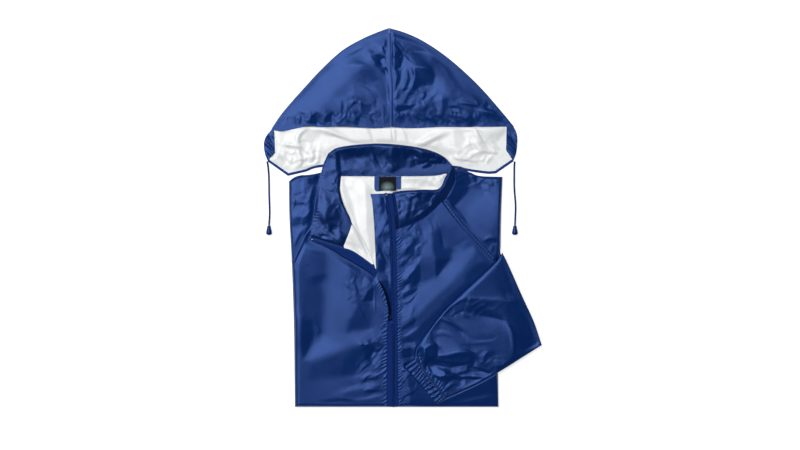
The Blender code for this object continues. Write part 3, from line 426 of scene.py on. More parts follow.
FACING_MARKS = {
    "zones": (
        (-0.23, 8, -125, 82, -20, 83, 60, 83, 92, 91, 98, 104, 80, 122, 50, 135, 0, 144, -60, 147, -125, 140),
        (-0.20, 6, 16, 86, 92, 92, 96, 104, 60, 112, 16, 112),
        (-0.26, 4, -119, 138, -94, 137, -96, 122, -106, 121, -116, 127),
        (-0.12, 4, -92, 140, -66, 142, -64, 124, -84, 120),
        (0.12, 4, -113, 118, -76, 116, -72, 102, -90, 94, -110, 99),
        (0.14, 5, -58, 146, -20, 144, -22, 118, -30, 96, -38, 96, -48, 116),
        (-0.26, 5, -20, 140, 4, 140, 20, 132, 24, 112, 34, 104, 20, 89, -18, 89, -24, 112),
        (0.24, 3, 26, 136, 38, 132, 34, 118, 28, 107, 24, 120),
        (-0.30, 4, 40, 130, 70, 126, 94, 108, 90, 101, 60, 107, 40, 112),
        (0.04, 4, -161, 98, -146, 96, -138, 62, -140, 32, -152, 30, -168, 60),
        (-0.34, 4, -150, 20, -138, 27, -124, 6, -111, -14, -118, -23, -146, -25, -157, -8),
        (0.10, 4, -168, 12, -154, 0, -147, -24, -160, -31, -176, -14),
        (0.22, 3, -141, -26, -128, -23, -121, -40, -134, -45),
        (0.14, 3, -162, -34, -142, -40, -132, -54, -152, -50),
        (-0.14, 3, -126, -18, -108, -22, -114, -52, -122, -54),
        (-0.22, 4, -150, 136, -138, 138, -140, 120, -152, 114),
        (0.10, 4, -148, 112, -136, 116, -134, 96, -148, 94),
    ),
    "strokes": (
        (-0.60, 8, -131, 139, -129, 112, -127, 86),
        (0.20, 5, -123, 134, -121, 112, -120, 92),
        (-0.34, 4, -58, 124, -50, 108, -42, 97),
        (0.20, 3, -66, 122, -60, 106, -54, 94),
        (0.32, 4, 29, 89, 38, 103, 50, 109),
        (-0.32, 3.5, 36, 89, 46, 101, 56, 106),
        (0.30, 3, 44, 88, 54, 97, 66, 104),
        (-0.28, 3, 52, 88, 64, 96, 76, 100),
        (0.28, 3, 60, 91, 72, 99, 86, 104),
        (0.24, 5, -143, 86, -136, 64, -126, 42, -114, 14, -108, -4),
        (-0.34, 5, -131, 72, -122, 46, -112, 20, -104, -2),
        (-0.30, 3, -162, -26, -150, -38, -140, -47),
        (0.22, 3, -172, -18, -158, -32, -150, -40),
        (-0.24, 3, 0, 138, 6, 126, 4, 116),
        (0.22, 3, -8, 139, -2, 128, -4, 118),
        (0.20, 3, 8, 141, 16, 132, 18, 122),
        (0.20, 3, -120, 101, -110, 92, -104, 86),
        (-0.20, 3, -112, 102, -102, 93, -98, 86),
        (0.20, 3, -92, 100, -84, 90, -80, 86),
        (-0.22, 3, -36, 96, -30, 90, -28, 85),
        (0.18, 3, -16, 98, -8, 90, -4, 86),
    ),
    "crushed": (
        (-30, 112, 130, 30, 0, 14, 1.3, 0.08, 61),
        (58, 104, 40, 18, 30, 9, 1.4, 0.14, 62),
        (-146, 30, 30, 90, 80, 16, 1.4, 0.07, 63),
        (-145, -36, 36, 22, -40, 9, 1.4, 0.16, 64),
    ),
    "puckers": (
        (9.0, 4.0, 0.5, 0.3, 0, 90, 110, 50, 133, 0, 142, -60, 145, -125, 138),
        (7.5, 6.0, 0.9, 0.3, 0, -163, 90, -169, 50, -176, 0, -183, -36),
        (6.5, 4.5, 0.7, 0.6, 0, 80, 88, 60, 83, 10, 83, -60, 83, -118, 83),
        (6.0, 5.0, 0.8, 0.6, 0, -183, -40, -150, -50, -120, -60),
    ),
}

COLLAR_MARKS = {
    "zones": (
        (-0.21, 8, -20, 50, 40, 55, 72, 57, 92, 99, 104, 86, 92, 48, 64, 14, 20, -15, -8, -24),
        (0.15, 4, 16, -14, 24, 8, 40, 26, 54, 34, 61, 28, 44, 12, 28, -6),
        (-0.18, 4, 22, 47, 44, 51, 62, 50, 57, 38, 40, 33, 28, 38),
        (-0.34, 4, 104, 88, 106, 66, 96, 46, 78, 28, 60, 10, 40, -4, 20, -16, 6, -22, 14, -12, 34, 2, 52, 16,
         66, 32, 78, 50, 90, 66, 98, 84),
        (0.14, 4, 85, 88, 96, 92, 103, 80, 98, 66, 88, 64, 83, 74),
        (0.10, 4, 60, 50, 72, 54, 80, 62, 76, 48, 62, 34),
    ),
    "strokes": (
        (0.24, 4, 8, 46, 5, 22, 3, -4),
        (-0.32, 6, 16, 48, 16, 28, 12, 6, 8, -8),
        (0.16, 4, 25, 32, 19, 12, 14, -6),
        (0.24, 3, 22, 50, 26, 41, 36, 34),
        (-0.24, 3, 28, 51, 32, 43, 42, 38),
        (0.24, 3, 37, 52, 41, 44, 52, 38),
        (-0.24, 3, -4, 44, -6, 30, -6, 10),
        (0.18, 3, 56, 53, 58, 45, 64, 40),
    ),
    "crushed": (
        (24, 26, 50, 34, 30, 10, 1.6, 0.10, 71),
        (90, 62, 20, 40, 70, 10, 1.4, 0.08, 72),
    ),
    "puckers": (
        (6.5, 5.0, 0.5, 0.3, 0, -16, 48, 0, 51, 40, 53, 68, 55),
        (5.6, 6.0, 1.0, -0.8, -1, -9, -20, -14, 0, -18, 30, -20, 48),
    ),
}

HOOD_LEFT_MARKS = {
    "zones": (
        (0.08, 12, -238, 212, -165, 290, -140, 298, -118, 288, -100, 262, -96, 225, -130, 212, -180, 210),
        (-0.09, 14, -140, 264, -112, 272, -102, 252, -118, 240, -142, 242),
        (-0.17, 9, -124, 302, -98, 303, -76, 303, -58, 292, -40, 274, -28, 250, -24, 234, -36, 238, -60, 256,
         -86, 268, -104, 282),
        (-0.10, 14, -90, 296, -66, 294, -50, 276, -60, 268, -82, 276),
        (0.10, 6, -112, 306, -92, 322, -70, 330, -64, 316, -78, 304),
        (0.08, 6, -78, 352, -46, 367, -28, 360, -36, 346, -62, 338),
        (-0.34, 3, -68, 328, -44, 325, -34, 320, -46, 314, -40, 304, -30, 296, -36, 289, -52, 303, -62, 318),
        (0.26, 3, -45, 314, -34, 318, -28, 308, -33, 298, -43, 304),
        (-0.14, 8, -102, 245, -84, 239, -70, 222, -84, 221, -98, 232),
        (-0.30, 2, -188, 188, -182, 204, -172, 203, -170, 186),
        (0.18, 3, -168, 189, -166, 206, -158, 207, -157, 189),
        (-0.30, 2, -156, 190, -154, 205, -144, 204, -141, 190),
        (0.16, 3, -139, 192, -140, 208, -130, 208, -128, 190),
        (-0.26, 2, -96, 186, -94, 200, -84, 199, -90, 184),
        (0.08, 4, -140, 202, -124, 204, -126, 186, -140, 186),
    ),
    "strokes": (
        (-0.20, 7, -139, 304, -120, 318, -98, 329, -78, 338, -58, 345),
        (0.14, 4, -134, 312, -112, 326, -86, 338),
        (-0.42, 4, -34, 346, -39, 336, -33, 326, -28, 318),
        (-0.36, 3, -24, 342, -25, 330, -22, 320),
        (0.26, 3, -30, 377, -28, 362, -26, 346),
        (0.24, 2.5, -26, 330, -26, 300, -25, 260, -24, 210),
        (0.13, 3, -78, 264, -52, 246, -28, 220),
        (-0.15, 3, -74, 252, -48, 232, -28, 210),
        (0.13, 3, -66, 240, -42, 218, -30, 206),
        (-0.13, 3, -56, 262, -40, 244, -27, 228),
        (-0.22, 4, -121, 232, -120, 220, -122, 212),
        (0.14, 4, -114, 230, -112, 218, -116, 210),
        (-0.16, 4, -108, 228, -110, 216, -107, 208),
        (-0.34, 4, -217, 201, -210, 184),
        (-0.34, 4, -203, 202, -205, 184),
        (0.22, 3.5, -211, 203, -207, 190),
        (0.20, 4, -197, 204, -194, 188),
        (-0.26, 3, -210, 214, -196, 204),
        (-0.32, 3, -186, 209, -176, 200),
        (-0.26, 3, -163, 207, -158, 199),
        (-0.22, 3, -232, 192, -224, 200),
        (0.20, 4, -240, 186, -230, 196),
        (-0.30, 3, -114, 197, -104, 188),
        (-0.26, 3, -101, 214, -93, 206),
        (-0.22, 3, -76, 204, -58, 207),
        (-0.30, 3, -31, 196, -26, 188),
        (0.22, 3, -80, 198, -70, 188),
        (0.20, 3, -60, 200, -52, 188),
        (-0.24, 3, -66, 200, -58, 188),
        (0.20, 3, -44, 202, -38, 190),
    ),
    "crushed": (
        (-34, 322, 30, 30, 0, 9, 1.3, 0.07, 82),
        (-70, 228, 46, 26, -45, 14, 1.8, 0.07, 83),
        (-140, 196, 130, 13, 0, 9, 1.3, 0.07, 84),
    ),
    "puckers": (
        (11.0, 6.0, 0.35, 0.5, 0, -238, 200, -200, 205, -150, 206, -100, 206, -30, 206),
    ),
}

HOOD_RIGHT_MARKS = {
    "zones": (
        (-0.07, 20, -20, 372, 60, 330, 130, 270, 200, 200, 160, 188, -20, 188),
        (-0.15, 6, -18, 360, 30, 346, 70, 321, 100, 299, 88, 304, 58, 322, 46, 331, 6, 331, -2, 340,
         -16, 352),
        (0.12, 5, 8, 328, 46, 332, 62, 320, 50, 305, 38, 299, 24, 304, 12, 318),
        (-0.30, 7, 24, 300, 38, 298, 58, 297, 66, 284, 61, 266, 46, 262, 32, 262, 20, 246, 8, 244, 18, 258,
         24, 280),
        (0.06, 14, 40, 246, 60, 262, 80, 272, 84, 252, 64, 236),
        (0.15, 3, 64, 237, 76, 243, 80, 226, 74, 206, 67, 214),
        (-0.12, 4, 80, 240, 92, 236, 90, 218, 80, 206),
        (-0.32, 3, -21, 320, -6, 335, 2, 318, -2, 300, -14, 295, -21, 300),
        (-0.30, 3, -18, 214, -12, 222, 4, 224, 16, 221, 10, 215, -6, 211),
        (0.10, 5, 0, 240, 20, 244, 40, 232, 30, 216, 10, 226),
        (-0.30, 3, 158, 212, 176, 209, 198, 200, 208, 186, 196, 184, 184, 193, 168, 202),
        (0.12, 4, 164, 225, 180, 224, 200, 204, 186, 206, 170, 212),
        (-0.34, 3, 130, 200, 138, 204, 148, 184, 134, 184),
        (0.05, 10, 100, 290, 150, 250, 176, 230, 150, 228, 110, 240, 96, 262),
        (-0.08, 6, 84, 300, 104, 284, 118, 262, 108, 262, 92, 282),
        (-0.06, 8, 60, 230, 84, 234, 104, 262, 112, 244, 100, 226),
    ),
    "strokes": (
        (-0.38, 5, -20, 350, -10, 338, 3, 326),
        (0.16, 4, -14, 356, 0, 344, 14, 334),
        (0.26, 4.5, 6, 306, 18, 300, 22, 280, 15, 262, 9, 252),
        (-0.30, 5, 8, 297, 13, 280, 8, 262, 0, 250),
        (0.18, 4, -3, 300, 2, 284, -4, 264, -14, 250),
        (-0.30, 6, -11, 296, -7, 280, -14, 262, -19, 250),
        (0.18, 3, -10, 330, 0, 316, 2, 300),
        (-0.36, 3.5, 155, 219, 138, 224, 118, 226),
        (-0.36, 3.5, 122, 216, 108, 220, 92, 222),
        (0.22, 3, 152, 224, 130, 230, 112, 231),
        (0.20, 3, 118, 211, 104, 214, 90, 217),
        (-0.32, 3, 157, 218, 165, 222, 173, 228),
        (-0.18, 2.5, 156, 221, 149, 232),
        (0.18, 2.5, 161, 222, 163, 238),
        (-0.12, 3, 100, 234, 118, 243, 132, 243),
        (0.14, 3, 24, 214, 32, 238),
        (-0.16, 3, 40, 210, 54, 226),
        (0.16, 3, 48, 208, 62, 222),
        (-0.24, 3, 64, 208, 70, 220),
        (-0.34, 3, 22, 202, 32, 196, 44, 191),
        (-0.34, 3.5, 40, 204, 48, 198, 58, 189),
        (-0.34, 3.5, 58, 200, 64, 192, 71, 182),
        (-0.36, 4, 72, 204, 80, 196, 92, 185),
        (-0.34, 3.5, 99, 202, 107, 195, 118, 187),
        (-0.32, 3.5, 118, 204, 124, 197, 132, 189),
        (-0.30, 3, -10, 203, -2, 199, 4, 195),
        (-0.30, 3, 8, 206, 14, 198, 22, 189),
    ),
    "crushed": (
        (-8, 312, 26, 40, 80, 9, 1.5, 0.06, 92),
        (20, 236, 60, 36, 30, 14, 1.5, 0.08, 93),
        (90, 196, 130, 13, -40, 9, 1.6, 0.07, 94),
        (150, 214, 60, 20, -20, 12, 1.5, 0.08, 95),
    ),
    "puckers": (
        (10.0, 6.0, 0.3, 0.7, 0, -14, 206, 40, 206, 100, 207, 160, 207, 196, 204),
    ),
}

# Inside of the hood's lower layer
LINING_LEFT_MARKS = {
    "zones": (
        (-0.12, 6, -190, 178, -160, 176, -168, 156, -184, 148, -200, 150),
        (-0.10, 6, -262, 128, -236, 118, -222, 92, -240, 96),
        (-0.14, 5, -160, 176, -134, 174, -100, 158, -84, 150, -100, 148, -140, 160),
        (0.12, 5, -236, 164, -214, 168, -212, 148, -236, 146),
    ),
    "strokes": (
        (-0.42, 7, -186, 180, -202, 166, -206, 150, -200, 137),
        (0.30, 6, -196, 178, -212, 164, -215, 148),
        (-0.34, 7, -166, 172, -138, 164, -106, 150),
        (0.24, 6, -150, 176, -120, 166, -92, 152),
        (-0.42, 4, -240, 142, -220, 141, -200, 137),
        (0.34, 3.5, -240, 148, -218, 147, -200, 143),
        (-0.40, 5, -205, 136, -203, 126, -198, 114),
        (0.30, 4, -212, 132, -210, 122, -206, 112),
        (-0.38, 4, -176, 134, -177, 122, -179, 110),
        (0.32, 4, -184, 132, -186, 120, -187, 108),
        (-0.34, 4, -164, 130, -166, 116, -170, 104),
        (-0.32, 4, -190, 118, -200, 108, -210, 100),
        (-0.20, 4, -70, 176, -64, 164, -58, 152),
        (0.14, 4, -62, 176, -56, 164, -50, 152),
        (-0.30, 4, -252, 136, -246, 124, -238, 114),
        (0.22, 4, -222, 128, -214, 118, -206, 106),
        (-0.40, 2, -21, 178, -21, 148),
    ),
    "crushed": ((-204, 126, 54, 28, 0, 12, 1.5, 0.10, 101),),
    "puckers": (),
}

LINING_RIGHT_MARKS = {
    "zones": (
        (-0.15, 10, 100, 176, 204, 176, 204, 130, 180, 92, 120, 106, 104, 140),
        (-0.16, 5, 56, 142, 74, 148, 96, 128, 88, 116, 76, 130),
        (0.14, 5, 120, 170, 146, 172, 150, 150, 130, 146),
        (-0.12, 5, 168, 166, 200, 170, 200, 146, 176, 148),
    ),
    "strokes": (
        (-0.34, 8, 34, 139, 58, 152, 92, 168),
        (0.26, 7, 22, 143, 46, 158, 74, 172),
        (-0.38, 3.5, 148, 174, 158, 156, 174, 142),
        (0.34, 3.5, 154, 174, 164, 158, 180, 144),
        (-0.40, 3.5, 138, 122, 158, 129, 178, 128, 206, 118),
        (0.34, 3.5, 138, 128, 156, 135, 178, 134, 202, 125),
        (-0.34, 3, 150, 138, 162, 132, 172, 124),
        (-0.32, 4, 102, 117, 126, 114, 152, 108),
        (0.28, 4, 104, 122, 128, 119, 152, 114),
        (-0.32, 3, 178, 126, 184, 112, 182, 98),
        (0.28, 3, 186, 124, 192, 112, 190, 100),
        (-0.24, 3, 122, 106, 142, 102, 160, 94),
        (-0.40, 2, -14, 178, -14, 148),
        (-0.24, 4, 2, 172, 8, 160, 10, 150),
    ),
    "crushed": ((160, 124, 60, 34, 10, 12, 1.5, 0.12, 111),),
    "puckers": (),
}

SLEEVE_MARKS = {
    "zones": (
        (-0.085, 6, 120, -146, 150, -130, 196, -78, 206, -100, 214, -130, 222, -160, 200, -158, 140, -158),
        (0.16, 4, 204, -148, 219, -154, 227, -169, 210, -166),
        (-0.17, 6, 118, -160, 150, -162, 222, -168, 250, -205, 270, -245, 262, -258, 236, -262, 226, -240,
         216, -220, 202, -206, 180, -200, 150, -196, 130, -188),
        (0.09, 6, 84, -192, 104, -186, 140, -190, 180, -200, 204, -206, 216, -226, 221, -254, 219, -276,
         206, -292, 190, -300, 180, -290, 186, -270, 176, -264, 150, -268, 120, -264, 84, -272, 72, -262,
         66, -240, 76, -214),
        (0.05, 16, 110, -200, 180, -206, 186, -230, 150, -236, 116, -226),
        (-0.36, 3, 44, -262, 56, -254, 68, -253, 72, -262, 70, -276, 58, -284, 50, -292, 44, -304, 40, -290),
        (0.40, 2.5, 35, -266, 43, -264, 46, -280, 41, -291, 34, -280),
        (-0.30, 3, 60, -276, 90, -276, 112, -270, 134, -269, 143, -276, 144, -290, 136, -302, 128, -300,
         132, -288, 122, -294, 96, -300, 80, -298, 64, -292, 58, -286),
        (0.12, 3, 80, -284, 120, -278, 134, -280, 126, -290, 96, -294, 76, -292),
        (0.40, 3, 55, -298, 66, -295, 85, -304, 85, -314, 72, -318, 60, -309),
        (0.16, 4, 150, -300, 172, -266, 160, -267, 148, -278, 146, -292),
        (-0.28, 3, 173, -267, 167, -286, 160, -291, 165, -272),
        (0.26, 3, 134, -306, 160, -308, 183, -316, 170, -320, 140, -316),
        (-0.24, 3, 188, -294, 199, -299, 190, -307),
    ),
    "strokes": (
        (0.14, 7, 204, -210, 215, -236, 218, -262),
        (-0.28, 4, 209, -206, 221, -230, 225, -256, 222, -282),
        (-0.42, 6, 79, -203, 97, -213, 117, -229),
        (0.20, 4, 86, -200, 104, -208, 122, -220),
        (-0.20, 4, 54, -230, 58, -238, 61, -246),
        (-0.38, 3, 30, -262, 30, -276, 36, -293),
        (-0.32, 5, 70, -322, 94, -318, 126, -308, 146, -300),
        (-0.44, 3, 138, -300, 160, -304, 181, -314),
        (-0.32, 5, 92, -323, 120, -320, 162, -322),
        (-0.32, 4, 80, -326, 92, -318, 110, -318),
        (0.14, 7, 120, -338, 160, -322, 190, -304),
        (0.14, 4, 64, -230, 80, -226, 96, -234),
        (-0.12, 4, 66, -238, 82, -234, 96, -242),
        (0.16, 3, 128, -176, 130, -166, 134, -160),
        (-0.16, 3, 104, -176, 112, -170, 120, -166),
        (0.14, 4, 140, -246, 170, -246, 190, -240),
        (-0.10, 4, 110, -252, 140, -254, 170, -252),
        (-0.36, 3, 50, -304, 58, -314, 70, -320),
        (0.30, 3, 78, -330, 90, -316, 106, -312, 120, -320, 122, -332, 108, -342),
        (-0.34, 3, 82, -336, 92, -323, 106, -319, 114, -326),
        (0.30, 2.5, 84, -342, 94, -330, 106, -327),
        (-0.34, 2.5, 86, -348, 98, -336, 108, -334),
        (0.30, 3, 46, -296, 52, -306, 60, -316),
        (0.26, 2.5, 38, -266, 58, -250, 71, -253, 74, -268, 70, -280),
        (0.26, 2.5, 76, -275, 104, -268, 128, -264, 146, -269, 151, -284, 146, -298),
        (-0.36, 4, 64, -284, 92, -290, 118, -292, 138, -286),
    ),
    "crushed": (
        (90, -320, 50, 26, -20, 9, 1.8, 0.05, 122),
        (110, -180, 70, 20, 40, 14, 1.6, 0.07, 124),
        (160, -294, 50, 26, 20, 12, 1.8, 0.04, 125),
    ),
    "puckers": (
        (7.0, 8.0, 0.6, 0.4, 1, 26, -276, 45, -304, 65, -330, 84, -352),
    ),
}

CUFF_MARKS = dict(PLAIN, crushed=((45, -327, 60, 60, 40, 7, 1.8, 0.10, 131),))

LIGHT_FROM = np.array([-0.745, 0.667])    # where the key light stands, seen from above


# Lines and plans


def smoothstep(t):
    """Rises smoothly from 0 to 1 as t does, and stays level outside."""
    t = np.clip(t, 0.0, 1.0)
    return t * t * (3.0 - 2.0 * t)


def unit(vectors):
    """The directions of the vectors."""
    return vectors / np.linalg.norm(vectors, axis=1)[:, None]


def curve(points, count):
    """A smooth curve through the points, as count points evenly spaced along it."""
    p = np.array(points, float)
    if len(p) == 2:
        return p[0] + (p[1] - p[0]) * np.linspace(0, 1, count)[:, None]
    p = np.vstack([2 * p[0] - p[1], p, 2 * p[-1] - p[-2]])
    t = np.linspace(0, 1, 16, endpoint=False)[:, None]
    fine = [0.5 * (2 * b + (c - a) * t + (2 * a - 5 * b + 4 * c - d) * t ** 2
                   + (3 * b - a - 3 * c + d) * t ** 3)
            for a, b, c, d in zip(p[:-3], p[1:-2], p[2:-1], p[3:])]
    return respace(np.vstack(fine + [p[-2]]), count)


def respace(line, count):
    """The same line as count points evenly spaced along it."""
    run = np.concatenate([[0], np.cumsum(np.linalg.norm(np.diff(line, axis=0), axis=1))])
    at = np.linspace(0, run[-1], count)
    return np.stack([np.interp(at, run, line[:, k]) for k in range(line.shape[1])], axis=1)


def length_of(line):
    """The length of a line through its points."""
    return float(np.linalg.norm(np.diff(line, axis=0), axis=1).sum())


def joined(*tables):
    """Smooth curves laid end to end, with a corner where two meet."""
    lines = [curve(table, COARSE) for table in tables]
    return np.vstack([lines[0]] + [line[1:] for line in lines[1:]])


def directions(line):
    """Unit vectors along a line and to its left, at each of its points."""
    along = unit(np.gradient(line, axis=0))
    return along, np.stack([-along[:, 1], along[:, 0]], axis=1)


def shifted(line, distance):
    """The line moved sideways, to the left of its direction."""
    line = np.array(line, float)
    return line + distance * directions(line)[1]


def outline(spacing):
    """The body's outline, with its corners kept and its sides divided evenly."""
    points = []
    for side in (BODY_LEFT, BODY_BOTTOM, BODY_RIGHT_LOW, ELBOW_LOW, ELBOW_FOLD, BODY_RIGHT_HIGH, SHOULDERS):
        line = curve(side, 80)
        points.append(respace(line, max(3, int(length_of(line) / spacing) + 1))[:-1])
    return np.vstack(points)


def polygon(*lines):
    """Curves laid end to end as one closed outline."""
    return np.vstack([curve(line, 24)[:-1] for line in lines])


def between(first, second):
    """The polygon that two edges enclose, where both run the same way."""
    return polygon(first, (first[-1], second[-1]), second[::-1], (second[0], first[0]))


def nearest_on(x, y, line, closed=False):
    """For each point: distance from the line, length along it, and 1 at its left or -1 at its right."""
    a = line if closed else line[:-1]
    b = np.roll(line, -1, axis=0) if closed else line[1:]
    side = b - a
    length = np.linalg.norm(side, axis=1)
    start = np.concatenate([[0], np.cumsum(length)])[:-1]
    real = length > 1e-6
    a, side, length, start = a[real], side[real], length[real], start[real]
    px, py = np.ravel(x)[:, None], np.ravel(y)[:, None]
    t = ((px - a[:, 0]) * side[:, 0] + (py - a[:, 1]) * side[:, 1]) / length ** 2
    t = np.clip(t, 0, 1)
    dx, dy = px - (a[:, 0] + t * side[:, 0]), py - (a[:, 1] + t * side[:, 1])
    distance = np.hypot(dx, dy)
    best = distance.argmin(axis=1)
    pick = (np.arange(len(best)), best)
    left = np.sign(side[best, 0] * dy[pick] - side[best, 1] * dx[pick])
    shape = np.shape(x)
    return (distance[pick].reshape(shape), (start[best] + t[pick] * length[best]).reshape(shape),
            left.reshape(shape))


def clear_of(x, y, cover, fade=FADE):
    """1 where a point lies clear of a cover's outline, falling to 0 under it."""
    a, b = cover, np.roll(cover, -1, axis=0)
    px, py = x[..., None], y[..., None]
    crosses = (a[:, 1] > py) != (b[:, 1] > py)
    rise = np.where(b[:, 1] == a[:, 1], 1e-9, b[:, 1] - a[:, 1])
    hit = crosses & (px < (b[:, 0] - a[:, 0]) * (py - a[:, 1]) / rise + a[:, 0])
    under = hit.sum(axis=-1) % 2 == 1
    return np.where(under, 0.0, smoothstep(nearest_on(x, y, cover, closed=True)[0] / fade))


def steps(count, turn_start=0.0, turn_end=0.0, turns=6, radius=EDGE_RADIUS):
    """Shares from 0 to 1 along a side, closer together where an edge turns down."""
    count = max(2, int(round(count)))
    quarter = radius * (1 - np.cos(np.linspace(0, math.pi / 2, turns + 1)))
    start = quarter / turn_start if turn_start else np.array([0.0])
    end = 1 - quarter[::-1] / turn_end if turn_end else np.array([1.0])
    return np.concatenate([start, np.linspace(start[-1], end[0], count + 1)[1:-1], end])


def edge(line):
    """A side of a piece: a short table becomes a curve, a long line is only respaced."""
    return curve(line, EDGE_POINTS) if len(line) < 40 else respace(np.array(line, float), EDGE_POINTS)


def patch(left, right, bottom, top, across, along):
    """Points of a four-sided piece, spread between its four edges."""
    def at(line, share):
        fine = edge(line)
        k = np.linspace(0, 1, EDGE_POINTS)
        return np.stack([np.interp(share, k, fine[:, 0]), np.interp(share, k, fine[:, 1])], axis=-1)

    l, r = at(left, along)[:, None, :], at(right, along)[:, None, :]
    if callable(across):
        across = np.array([across(width) for width in np.linalg.norm(r - l, axis=2).ravel()])
    else:
        across = np.tile(across, (len(along), 1))
    u = across[..., None]
    v = along[:, None, None]
    b, t = at(bottom, across), at(top, across)
    ends = np.array([0.0, 1.0])
    (b0, b1), (t0, t1) = at(bottom, ends), at(top, ends)
    corners = (1 - u) * (1 - v) * b0 + u * (1 - v) * b1 + (1 - u) * v * t0 + u * v * t1
    return (1 - u) * l + u * r + (1 - v) * b + v * t - corners


def ribbon(left, right, across, along):
    """Points of a strip between two edges that run the same way."""
    left, right = edge(left), edge(right)
    return patch(left, right, (left[0], right[0]), (left[-1], right[-1]), across, along)


def rectangle(left, right, low, high, across, along):
    """Points of an upright rectangle."""
    return patch(((left, low), (left, high)), ((right, low), (right, high)), ((left, low), (right, low)),
                 ((left, high), (right, high)), across, along)


def raised(plan, z):
    """The points of a plan at the heights given."""
    return np.concatenate([plan, z[..., None]], axis=2)


OUTLINE = outline(17)
RAGLAN_SEAMS = (curve(SEAM_RIGHT_RAGLAN, 40), curve(SEAM_LEFT_RAGLAN, 40))
CROWN_SEAM = curve(HOOD_CROWN, 40)

# Covers: what lies over a piece and presses its folds flat
SLEEVE_COVER = shifted(polygon(SLEEVE_UPPER, (SLEEVE_UPPER[-1], CUFF_EDGE[0]), CUFF_EDGE,
                               (CUFF_EDGE[-1], SLEEVE_LOWER[-1]), SLEEVE_LOWER[::-1], SLEEVE_FOLD[::-1]),
                       SLEEVE_COVER_MARGIN)
FACING_COVER = polygon(FACING_SEAM_BACK, FACING_SEAM_SIDE, (FACING_SEAM_SIDE[-1], FACING_TOP_SIDE[-1]),
                       FACING_TOP_SIDE[::-1], FACING_TOP_BACK[::-1],
                       (FACING_TOP_BACK[0], FACING_SEAM_BACK[0]))
COLLAR_COVER = between(COLLAR_SEAM, COLLAR_TOP)
TURNED_COVER = np.array([(-102, -4), (-124, -60), (-100, -68), (-80, -81), (-58, -98), (-60, -80),
                         (-78, -45)])
TAPE_COVER = between(TURNED_TAPE_TOP, TURNED_TAPE_LOW)
CASING_COVERS = [np.vstack([joined(*casing), curve(cheek[::-1], 30)])
                 for casing, cheek in ((CASING_LEFT, HOOD_CHEEK_LEFT), (CASING_RIGHT, HOOD_CHEEK_RIGHT))]
LINING_RIM = np.vstack([curve(HOOD_EDGE_LEFT[::-1], COARSE), curve(HOOD_CHEEK_LEFT[::-1], 30),
                        joined(*HOOD_NECK_LEFT), joined(*HOOD_NECK_RIGHT)[::-1],
                        curve(HOOD_CHEEK_RIGHT, 30), curve(HOOD_EDGE_RIGHT, COARSE)])


# Relief of folded cloth


def random_cells(i, j, seed, which):
    """A number from 0 to 1 for each cell of a lattice."""
    n = np.sin(i * 127.1 + j * 311.7 + seed * 74.7 + which * 269.5) * 43758.5453
    return n - np.floor(n)


def facets(x, y, size, seed, turn, stretch):
    """Height of crushed cloth: each cell tilts its own way and meets the next in a crease."""
    c, s = math.cos(math.radians(turn)), math.sin(math.radians(turn))
    bend = 0.25 * size
    x, y = x + bend * np.sin(y / size * 1.7 + seed), y + bend * np.sin(x / size * 1.9 - seed)
    u, v = (x * c + y * s) / (size * stretch), (y * c - x * s) / size
    iu, iv = np.floor(u), np.floor(v)
    total, weights = 0.0, 0.0
    for du in (-1, 0, 1):
        for dv in (-1, 0, 1):
            i, j = iu + du, iv + dv
            a, b = u - i - random_cells(i, j, seed, 1), v - j - random_cells(i, j, seed, 2)
            weight = np.exp(-CREASE_SHARPNESS * (a * a + b * b))
            tilt_a = 2 * random_cells(i, j, seed, 3) - 1
            tilt_b = 2 * random_cells(i, j, seed, 4) - 1
            lift = 0.4 * random_cells(i, j, seed, 5)
            total = total + weight * (tilt_a * a * stretch + tilt_b * b + lift)
            weights = weights + weight
    return size * total / (weights + 3e-4)


def raster():
    """Centres of the cells in which slopes are laid out."""
    x = np.arange(-RASTER_REACH[0], RASTER_REACH[0], RASTER_CELL)
    y = np.arange(-RASTER_REACH[1], RASTER_REACH[1], RASTER_CELL)
    return np.meshgrid(x, y)


def slopes(marks):
    """Slope towards the key light in each cell, from the zones and the strokes."""
    x, y = raster()
    total = np.zeros(x.shape)

    def near(route, reach):
        low, high = route.min(0) - reach, route.max(0) + reach
        columns = (x[0] > low[0]) & (x[0] < high[0])
        rows = (y[:, 0] > low[1]) & (y[:, 0] < high[1])
        return np.ix_(rows, columns)

    for slope, soft, *flat in marks["zones"]:
        corners = np.reshape(flat, (-1, 2)).astype(float)
        part = near(corners, soft)
        off = nearest_on(x[part], y[part], corners, closed=True)[0]
        signed = np.where(clear_of(x[part], y[part], corners) > 0, -off, off)
        total[part] += slope * smoothstep(0.5 + signed / soft)
    for slope, width, *flat in marks["strokes"]:
        route = curve(np.reshape(flat, (-1, 2)), 14)
        part = near(route, 1.6 * width)
        off, run = nearest_on(x[part], y[part], route)[:2]
        taper = np.sin(math.pi * np.clip(run / length_of(route), 0.04, 0.96)) ** 0.6
        total[part] += slope * taper * np.exp(-(off / (0.55 * width)) ** 2.5)
    return total


def settled(slope):
    """Heights whose slopes towards the key light come nearest to those wanted, without long swells."""
    rows, columns = slope.shape
    ky, kx = np.meshgrid(np.fft.fftfreq(rows, RASTER_CELL), np.fft.fftfreq(columns, RASTER_CELL),
                         indexing="ij")
    kx, ky = 2 * math.pi * kx, 2 * math.pi * ky
    along = kx * LIGHT_FROM[0] + ky * LIGHT_FROM[1]
    across = ky * LIGHT_FROM[0] - kx * LIGHT_FROM[1]
    swell = (2 * math.pi / LONGEST_SWELL) ** 2
    spectrum = 1j * along * np.fft.fft2(slope) / (along ** 2 + CROSS_STIFFNESS * across ** 2 + swell)
    return np.fft.ifft2(spectrum).real


HEIGHTS = {}


